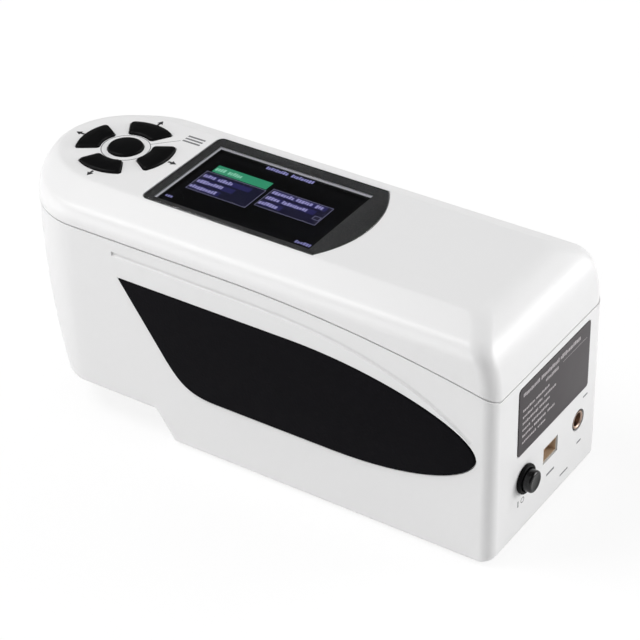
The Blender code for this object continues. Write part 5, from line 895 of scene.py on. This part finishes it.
left_words = (
    (-0.0376, 0.0016, (0.0046, 0.0052)),
    (-0.0376, -0.0018, (0.0098,)),
    (-0.0380, -0.0054, (0.0100,)),
)
right_words = (
    (-0.0138, 0.0046, (0.0080, 0.0062, 0.0030)),
    (-0.0138, 0.0012, (0.0050, 0.0096)),
    (-0.0142, -0.0022, (0.0072,)),
)
list_bands = [
    (start, row - 0.0003, stop, row + 0.0022)
    for start, words, stops in (
        (-0.0376, left_words, (-0.0200, -0.0240, -0.0270)),
        (-0.0138, right_words, (0.0060, 0.0040, -0.0060)),
    )
    for (at, row, widths), stop in zip(words, stops)
]
list_frames = (
    frame_bars((-0.0384, -0.0064), (-0.0160, 0.0052), LIST_FRAME)
    + frame_bars((-0.0146, -0.0036), (0.0076, 0.0072), LIST_FRAME)
    + frame_bars((0.0048, -0.0010), (0.0072, 0.0010), LIST_FRAME)
)
row_words = [bar for words in left_words + right_words for bar in word_bars(*words, WORD_HEIGHT)]
title_words = word_bars(-0.0236, 0.0156, (0.0086, 0.0086), WORD_HEIGHT)
corner_words = word_bars(-0.0410, -0.0136, (0.0026,), 0.0015) + word_bars(0.0074, -0.0144, (0.0054,), 0.0016)
green_words = word_bars(-0.0366, 0.0066, (0.0038, 0.0056), 0.0020)
list_backs = [(-0.0382, -0.0062, -0.0162, 0.0050), (-0.0144, -0.0034, 0.0074, 0.0070)]
for name, colour, bars, rise in (
    ("list_backs", linear(20, 18, 44), list_backs, 0.00001),
    ("list_bands", linear(40, 37, 88), list_bands, 0.00002),
    ("list_frames", linear(128, 126, 156), list_frames, 0.00003),
    ("green_row", linear(52, 152, 112), [(-0.0370, 0.0056, -0.0165, 0.0098)], 0.00003),
    ("row_words", linear(158, 154, 206), row_words, 0.00005),
    ("top_line", linear(84, 80, 140), [(-0.0350, 0.0178, 0.0130, 0.0180)], 0.00002),
    ("title_words", linear(150, 148, 206), title_words, 0.00003),
    ("corner_words", linear(140, 138, 196), corner_words, 0.00003),
    ("green_words", linear(150, 218, 188), green_words, 0.00005),
):
    picture = new_object(name, new_mesh(name, *strokes(bars, SCREEN + 0.000005, SCREEN + rise)), lit(name, colour))
    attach(picture, "housing")

# ---------------------------------------------------------------- top cover
# The upper half of the housing: a flat top with sloped shoulders, a full round at the nose and a
# long soft curve down to the port end. Its walls sit outside the lip of the case.
TOP = 0.0813
SHOULDER_IN = 0.012
SHOULDER_SLOPE = math.radians(25.0)
SIDE_ROUND = 0.006
CREASE_ROUND = 0.004
SHOULDER_FALL = (SHOULDER_IN - SIDE_ROUND * (1 - math.sin(SHOULDER_SLOPE))) * math.tan(SHOULDER_SLOPE)
CURVE_DEPTH = SHOULDER_FALL + SIDE_ROUND * math.cos(SHOULDER_SLOPE)
NOSE_CURVE = (0.0045, 0.0045)
PORT_CURVE = (0.014, 0.0205)
KEY_CENTRE = -0.0667
REBATE = 0.001
EDGE_GAP = 0.00055
REBATE_TOP = 0.0015
OPENING_FOOT = 0.0771


def side_set_in(depth, wall):
    """How far the side is set in at a depth: a small round at the edge of the flat top, then a straight
    shoulder, then an arc of the side's round that ends upright."""
    radius = SIDE_ROUND - wall
    tangent = CREASE_ROUND * math.tan(SHOULDER_SLOPE / 2)
    crease = SHOULDER_IN + tangent - np.sqrt(np.clip(CREASE_ROUND ** 2 - (CREASE_ROUND - depth) ** 2, 0.0, None))
    slope = SHOULDER_IN - (depth - wall / math.cos(SHOULDER_SLOPE)) / math.tan(SHOULDER_SLOPE)
    arc = SIDE_ROUND - np.sqrt(np.clip(radius ** 2 - (CURVE_DEPTH - depth) ** 2, 0.0, None))
    inset = np.where(depth > CURVE_DEPTH - radius * math.cos(SHOULDER_SLOPE), arc, slope)
    if wall == 0:
        inset = np.where(depth < CREASE_ROUND * (1 - math.cos(SHOULDER_SLOPE)), crease, inset)
    return np.where(depth >= CURVE_DEPTH, wall, inset)


def end_set_in(depth, wall, length, height):
    """How far an end is set in at a depth: a quarter of an ellipse."""
    share = np.clip(1 - (depth - wall) / (height - wall), 0.0, None)
    return wall + (length - wall) * (1 - np.sqrt(np.clip(1 - share * share, 0.0, None)))


def cover_levels(wall, rise, fine):
    """Levels of the cover, outside or inside, from the top to a height over the parting line."""
    radius = SIDE_ROUND - wall
    shoulder = CURVE_DEPTH - radius * math.cos(SHOULDER_SLOPE)
    slope_angles = np.linspace(SHOULDER_SLOPE, np.pi / 2, 13 if fine else 5)[1:]
    depth = np.concatenate([
        wall + (shoulder - wall) * np.linspace(0.0, 1.0, 21 if fine else 5) ** 2,
        CURVE_DEPTH - radius * np.cos(slope_angles),
    ])
    nose = end_set_in(depth, wall, *NOSE_CURVE)
    port = end_set_in(depth, wall, *PORT_CURVE)
    x, y = body_plan(side_set_in(depth, wall), nose, port, COVER_CORNER - wall)
    upper = (x, y, TOP - depth[:, None] + 0.0 * x)
    side_z = TOP - CURVE_DEPTH
    end_z = PARTING_HEIGHT - PARTING_DIP - PARTING_DROP + rise
    share = np.linspace(0.0, 1.0, 13 if fine else 4)[1:]
    port = end_set_in(TOP - side_z - (end_z - side_z) * share, wall, *PORT_CURVE)
    x, y = body_plan(wall, wall, port, COVER_CORNER - wall)
    lower = (x, y, side_z + (parting_line(x) + rise - side_z) * share[:, None])
    return [upper, lower]


def window_outline(grow):
    """Outline of the display window: three straight sides, small corners, and a bowed end that is
    one arc of radius (half ^ 2 + bulge ^ 2) / (2 * bulge)."""
    half, left, end, bulge = 0.0212, -0.0446 - grow, 0.0188, 0.0068
    bow = (half * half + bulge * bulge) / (2 * bulge)
    radius = bow + grow
    sweep = math.asin((half + grow) / radius)
    angle = np.linspace(-sweep, sweep, 41)
    arc = np.column_stack([end + bulge - bow + radius * np.cos(angle), radius * np.sin(angle)])
    corner = 0.0022 + grow
    bend = np.linspace(0.0, np.pi / 2, 9)
    upper = np.column_stack([left + corner - corner * np.sin(bend), half + grow - corner + corner * np.cos(bend)])
    return np.concatenate([arc, upper, upper[::-1] * (1.0, -1.0)])


def key_outline(grow, angle):
    """Outline of an arc key: two arcs round the middle of the keys, with rounded corners between them.
    grow may be a row of amounts, and then each row of points is one outline."""
    grow = np.atleast_1d(grow).reshape(-1, 1)
    inner, outer = 0.0086 - grow, 0.0161 + grow
    corner = np.minimum(0.0012, 0.45 * (outer - inner))
    half = math.radians(31.0) + grow / 0.0124
    bend = np.linspace(0.0, np.pi / 2, 7)
    inwards, upwards = 1 - np.cos(bend), 1 - np.sin(bend)
    sweep = np.linspace(-1.0, 1.0, 21)
    reach_out, reach_in = half - corner / outer, half - corner / inner
    radius = np.hstack([
        outer + 0.0 * sweep, outer - corner * inwards, inner + corner * upwards,
        inner + 0.0 * sweep, inner + corner * inwards, outer - corner * upwards,
    ])
    turn = np.hstack([
        reach_out * sweep, reach_out + (half - reach_out) * np.sin(bend), half - (half - reach_in) * inwards,
        -reach_in * sweep, -reach_in - (half - reach_in) * np.sin(bend), -half + (half - reach_out) * inwards,
    ])
    return KEY_CENTRE + radius * np.cos(turn + angle), radius * np.sin(turn + angle)


key_turns = {"key_right": 0.0, "key_up": np.pi / 2, "key_left": np.pi, "key_down": -np.pi / 2}
key_posts = [(-0.05645, 0.01775), (-0.07695, -0.01775)]
board_posts = [(0.0247, -0.019), (0.051, 0.019)]
cover_shape = mirrored_shell(
    cover_levels(0.0, EDGE_GAP, True)
    + [wall_level(REBATE, EDGE_GAP), wall_level(REBATE, REBATE_TOP)]
    + [tuple(part[::-1] for part in level) for level in cover_levels(CASE_WALL, REBATE_TOP, False)[::-1]]
)
bosses = [rod(0.0033, 0.0527, 0.0778, spot, steps=32) for spot in pillar_spots]
bosses += [rod(0.002, 0.0748, 0.0797, spot, steps=24) for spot in key_posts]
bosses += [rod(0.0024, 0.0740, 0.0801, spot, steps=24) for spot in board_posts]
pilots = [rod(0.0018, 0.050, 0.0587, spot, steps=24) for spot in pillar_spots]
pilots += [rod(0.0011, 0.0730, 0.0765, spot, steps=20) for spot in key_posts]
pilots += [rod(0.0011, 0.0730, 0.0756, spot, steps=20) for spot in board_posts]
openings = [prism(window_outline(SEAM), TOP - 0.0014, TOP + CUT_PAST)]
openings += [prism(np.vstack(key_outline(SEAM, turn)).T, OPENING_FOOT, TOP + CUT_PAST) for turn in key_turns.values()]
openings.append(rod(0.006, OPENING_FOOT, TOP + CUT_PAST, (KEY_CENTRE, 0.0), steps=72))
sight = block((SIGHT_X[0], SIGHT_Y[0], OPENING_FOOT), (SIGHT_X[1], SIGHT_Y[1], TOP))
cover_mesh = carve("upper_shell", cover_shape, [
    ("UNION", together(*bosses)),
    ("DIFFERENCE", together(*openings, *pilots)),
    ("DIFFERENCE", sight),
])
cover = soften(new_object("cover_moulding", cover_mesh, white_moulding))
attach(cover, "housing")
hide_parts("top_cover")

# ---------------------------------------------------------------- painted light edge
# A thin upright frame just inside the cut-out of the cover that glows pale: painted light that
# stands in for the lit pale edge seen round the display under the window.
GLOW_EDGE_GAP = 0.00005
glow_edge_low = (SIGHT_X[0] + GLOW_EDGE_GAP, SIGHT_Y[0] + GLOW_EDGE_GAP)
glow_edge_high = (SIGHT_X[1] - GLOW_EDGE_GAP, SIGHT_Y[1] - GLOW_EDGE_GAP)
glow_edge_bars = strokes(frame_bars(glow_edge_low, glow_edge_high, 0.00015), 0.07915, 0.0798)
# Painted glow: the frame emits a pale colour in place of light falling on it.
painted_light_edge = new_object("painted_light_edge", new_mesh("painted_light_edge", *glow_edge_bars), lit("painted_glow_edge", linear(176, 176, 182)))
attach(painted_light_edge, "housing")

# ---------------------------------------------------------------- window
# A clear acrylic plate, flush in a pocket of the cover, with polished edges. Dark grey ink on its
# underside leaves only the display clear.
WINDOW_FOOT = 0.0802
WINDOW_FACE = 0.0814


def rounded_slab(outline_of, low, high, radius, axis="Z"):
    """A closed slab whose edge at the high end is a quarter round: at angle t the outline has shrunk by
    radius * (1 - cos t) and the place is high less radius * (1 - sin t)."""
    t = np.linspace(0.0, np.pi / 2, 6)
    shrink = np.concatenate([[0.0], radius * (1 - np.cos(t))])
    place = np.concatenate([[low], high - np.sign(high - low) * radius * (1 - np.sin(t))])
    return capped(np.stack([oriented(axis, at, *outline_of(-less).T) for at, less in zip(place, shrink)]))


points, faces = rounded_slab(window_outline, WINDOW_FOOT, WINDOW_FACE, 0.0003)
count = len(window_outline(0.0))
centre = np.array([sum(SIGHT_X) / 2, sum(SIGHT_Y) / 2])
reach = np.array([SIGHT_X[1] - SIGHT_X[0], SIGHT_Y[1] - SIGHT_Y[0]]) / 2
spread = window_outline(0.0) - centre
sight_ring = centre + spread / np.max(np.abs(spread) / reach, axis=1, keepdims=True)
for corner in ((-1, -1), (-1, 1), (1, -1), (1, 1)):
    exact = centre + reach * corner
    sight_ring[np.argmin(np.linalg.norm(sight_ring - exact, axis=1))] = exact
# The slab's one flat face at the foot gives way to an inked border and a clear middle.
del faces[-2]
start = len(points)
points = np.concatenate([points, np.column_stack([sight_ring, np.full(count, WINDOW_FOOT)])])
j = np.arange(count)
faces += np.column_stack([j, (j + 1) % count, start + (j + 1) % count, start + j]).tolist()
faces.append((start + j).tolist())
window_mesh = new_mesh("window_plate", points, faces)
ink, tree, shader = new_surface("bezel_ink", {"Specular IOR Level": 0.3})
flecks = cells(tree, object_place(tree), 2600.0)
feed(tree, shader, {
    "Base Color": ranged(tree, flecks, 0.136, 0.082, 0.1, 0.6),
    "Roughness": ranged(tree, flecks, 0.45, 0.7),
})
window = new_object("window_plate", window_mesh, clear("window_acrylic", (0.96, 0.97, 0.98), 0.01, 1.49), ink)
centres = np.zeros(len(window_mesh.polygons) * 3)
window_mesh.polygons.foreach_get("center", centres)
centres = centres.reshape(-1, 3)
border = np.any(np.abs(centres[:, :2] - centre) > reach - 1e-5, axis=1)
inked = (centres[:, 2] < WINDOW_FOOT + 0.00001) & border
window_mesh.polygons.foreach_set("material_index", inked.astype(np.int32))
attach(window, "housing")
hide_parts("display_window")

# ---------------------------------------------------------------- keys
# Five satin black keys, moulded with a flange that keeps each one under the cover, and a plunger
# on its dome. The tops are slightly crowned and their edges softly rounded.
KEY_TOP = 0.0825
KEY_EDGE = 0.0006
KEY_CROWN = 0.0003
FLANGE_TOP = 0.0788
FLANGE_FOOT = FLANGE_TOP - 0.0008
STEM_RADIUS = 0.0014
STEM_FOOT = 0.0770
MENU_RADIUS = 0.0057


def crown(less, reach):
    """Height of a key's top under its highest point, by how far in from the outline: a quarter round of
    the edge radius, then a shallow parabola to the middle."""
    rim = KEY_CROWN + KEY_EDGE - np.sqrt(np.clip(KEY_EDGE ** 2 - np.clip(KEY_EDGE - less, 0.0, None) ** 2, 0.0, None))
    dome = KEY_CROWN * (1 - np.clip((less - KEY_EDGE) / (reach - KEY_EDGE), 0.0, 1.0)) ** 2
    return np.where(less < KEY_EDGE, rim, dome)


def steps_in(stop, count):
    """How far in each ring of a key's top is: seven round the edge, then even steps."""
    edge = KEY_EDGE * (1 - np.cos(np.linspace(0.0, np.pi / 2, 7)))
    return np.concatenate([edge, np.linspace(0.0009, stop, count)])


less = steps_in(0.0033, 8)
heights = np.concatenate([[FLANGE_TOP - 0.0004], KEY_TOP - crown(less, 0.0034)])
bodies = {"key_right": "right_key", "key_up": "up_key", "key_left": "left_key", "key_down": "down_key"}
for name, turn in key_turns.items():
    x, y = key_outline(-np.concatenate([[0.0], less]), turn)
    cap = capped(np.stack([x, y, heights[:, None] + 0.0 * x], -1))
    flange = prism(np.vstack(key_outline(0.0009, turn)).T, FLANGE_FOOT, FLANGE_TOP)
    stem_spot = (KEY_CENTRE + 0.01235 * math.cos(turn), 0.01235 * math.sin(turn))
    stem = rod(STEM_RADIUS, STEM_FOOT, 0.0782, stem_spot, steps=24)
    key = new_object("cap_" + name, new_mesh("cap_" + name, *together(cap, flange, stem)), satin_black)
    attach(key, bodies[name])
    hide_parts(name)
less = steps_in(0.0056, 10)
top_profile = np.column_stack([MENU_RADIUS - less, KEY_TOP - crown(less, MENU_RADIUS)]).tolist()
menu_profile = (
    [(0.0, KEY_TOP)] + top_profile[::-1]
    + [(MENU_RADIUS, FLANGE_TOP), (0.0066, FLANGE_TOP), (0.0066, FLANGE_FOOT), (STEM_RADIUS, FLANGE_FOOT)]
    + [(STEM_RADIUS, STEM_FOOT), (0.0, STEM_FOOT)]
)
add_turned("cap_key_menu", menu_profile, (KEY_CENTRE, 0.0), "Z", satin_black, "menu_key", "key_menu")

# ---------------------------------------------------------------- printing on the cover
# Pad-printed grey marks: a fine ring between the keys, an arrow outside each one, and a fine line
# from the middle key to a small sign of three bars.
PRINT = 0.00002
on_top = (TOP - PRINT, TOP + PRINT)


def plain_ring(radius, width, low, high, centre, axis="Z", steps=96):
    """A thin flat ring."""
    inner, outer = radius - width / 2, radius + width / 2
    return turned([(inner, low), (outer, low), (outer, high), (inner, high)], centre, axis, steps)


def arrow(angle, reach):
    """A small arrow that points outwards from the keys: a stem and a head, turned by an angle."""
    half = np.array([(0.0, -0.0004), (0.0013, -0.0004), (0.0013, -0.0011), (0.0032, 0.0)])
    shape = np.concatenate([half, half[-2::-1] * (1.0, -1.0)]) + (reach, 0.0)
    c, s = math.cos(angle), math.sin(angle)
    return shape @ np.array([(c, s), (-s, c)]) + (KEY_CENTRE, 0.0)


line = np.array([(-0.0612, 0.0059), (-0.0545, 0.0128)])
way = (line[1] - line[0]) / np.linalg.norm(line[1] - line[0])
beside = np.array([-way[1], way[0]]) * 0.0001
leader = prism([line[0] - beside, line[1] - beside, line[1] + beside, line[0] + beside], *on_top)
marks = together(plain_ring(0.0079, 0.00028, *on_top, (KEY_CENTRE, 0.0)), leader)
arrows = together(*[prism(arrow(turn, 0.0168), *on_top) for turn in key_turns.values()])
sign = strokes([(-0.0540, y0, -0.0474, y0 + 0.0008) for y0 in (0.0130, 0.0146, 0.0162)], *on_top)
grey_print = moulded("grey_print", (0.20, 0.20, 0.21), 0.5, scale=3000.0, spread=0.2)
dark_print = moulded("dark_print", (0.03, 0.03, 0.033), 0.45, scale=3000.0, spread=0.2)
for name, shape, surface in (
    ("key_rings", marks, grey_print), ("key_arrows", arrows, dark_print), ("menu_sign", sign, grey_print),
):
    printed = new_object(name, new_mesh(name, *shape), surface)
    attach(printed, "housing")

# ---------------------------------------------------------------- grips
# Black rubber pads, bonded in shallow recesses of both sides, with a fine pebbled texture and a
# softly rounded rim.
rubber, tree, shader = new_surface("pebbled_rubber", {"Specular IOR Level": 0.08})
place = object_place(tree)
pebbles = cells(tree, place, 1500.0, feature="SMOOTH_F1")
cloud = noise(tree, place, 260.0, 5.0)
feed(tree, shader, {
    "Base Color": mixed(tree, cloud, (0.0018, 0.0016, 0.0026, 1.0), (0.0044, 0.0040, 0.0058, 1.0)),
    "Roughness": ranged(tree, cloud, 0.62, 0.82),
    "Normal": bumps(tree, pebbles, 0.6, 0.00012),
})
for name, node, side in (("rubber_near", "grip_near", -1), ("rubber_far", "grip_far", 1)):
    pad = rounded_slab(grip_outline, side * 0.0326, side * 0.0340, 0.0005, "Y")
    piece = new_object(name, new_mesh(name, *pad), rubber)
    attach(piece, "housing")
    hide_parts(node)

# ---------------------------------------------------------------- rating plate
# A dark film plate, bonded in a shallow recess of the end wall. Where such a plate is printed, it
# has rows of pale bars that cannot be read.
PLATE_BACK = 0.0878
PLATE_FACE = 0.0882
TEXT_LEFT = -0.0165
film, tree, shader = new_surface("dark_film", {"Coat Weight": 0.15, "Coat Roughness": 0.3})
cloud = noise(tree, object_place(tree), 60.0, 4.0)
feed(tree, shader, {
    "Base Color": mixed(tree, cloud, (0.028, 0.024, 0.026, 1.0), (0.044, 0.033, 0.038, 1.0)),
    "Roughness": ranged(tree, cloud, 0.35, 0.55),
})


def plate_outline(grow):
    """Outline of the rating plate in Y and Z, grown all round."""
    return rounded((-0.0187 - grow, 0.0321 - grow), (0.0247 + grow, 0.0564 + grow), 0.0012 + grow)


plate = rounded_slab(plate_outline, PLATE_BACK, PLATE_FACE, 0.00015, "X")
piece = new_object("film_plate", new_mesh("film_plate", *plate), film)
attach(piece, "housing")
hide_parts("rating_plate")
rows = word_bars(TEXT_LEFT, 0.0528, (0.0098, 0.0108, 0.0124), 0.0016) + word_bars(-0.0030, 0.0503, (0.0076,), 0.0013)
small_rows = (
    (0.0070, 0.0082), (0.0060, 0.0052, 0.0070), (0.0092, 0.0062),
    (0.0048, 0.0104), (0.0062, 0.0074, 0.0042), (0.0086, 0.0050),
)
for k, widths in enumerate(small_rows):
    rows += word_bars(TEXT_LEFT, 0.0474 - 0.0023 * k, widths, 0.0010)
rows.append((0.0075, 0.0512, 0.0225, 0.05135))
pale = moulded("pale_print", (0.42, 0.39, 0.40), 0.5, scale=3000.0, spread=0.2)
bars = strokes(rows, PLATE_FACE - PRINT, PLATE_FACE + PRINT, "X")
printed = new_object("plate_bars", new_mesh("plate_bars", *bars), pale)
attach(printed, "housing")

# ---------------------------------------------------------------- marks at the port end
# Small grey marks printed on the wall by the sockets: a stroke and a ring for the power button,
# and short bars by the data socket and the jack.
on_end = (PORT_END - PRINT, PORT_END + PRINT)
short_bars = [
    (0.0002, 0.0128, 0.0050, 0.0136), (0.0092, 0.0068, 0.0142, 0.0074), (0.0196, 0.0126, 0.0222, 0.0133),
    (0.0224, 0.0285, 0.0252, 0.0291),
]
power_stroke = (-0.0176, 0.0128, -0.0170, 0.0150)
power_circle = plain_ring(0.0009, 0.0003, *on_end, (-0.0146, 0.0139), "X", 48)
end_marks = together(strokes(short_bars + [power_stroke], *on_end, "X"), power_circle)
printed = new_object("end_marks", new_mesh("end_marks", *end_marks), grey_print)
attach(printed, "housing")

# ---------------------------------------------------------------- feet and case screws
# Four rubber feet, pressed in round seats of the underside, and the screws that clamp the cover.
foot_rubber = moulded("foot_rubber", (0.016, 0.015, 0.017), 0.75, scale=1400.0, spread=0.2, strength=0.4)
foot_profile = (
    [(0.0, 0.0), (0.0026, 0.0)]
    + round_corner((0.0035, 0.0), (0.0, 0.0), (0.0035, 0.0009), 0.0004)
    + [(0.0035, 0.0009), (0.0, 0.0009)]
)
for number, spot in enumerate(foot_spots, 1):
    add_turned(f"pad_foot_{number}", foot_profile, spot, "Z", foot_rubber, "housing", f"foot_{number}",
               48)
dress(turned_steel, *[f"case_screw_{number}" for number in (1, 2, 3, 4)])
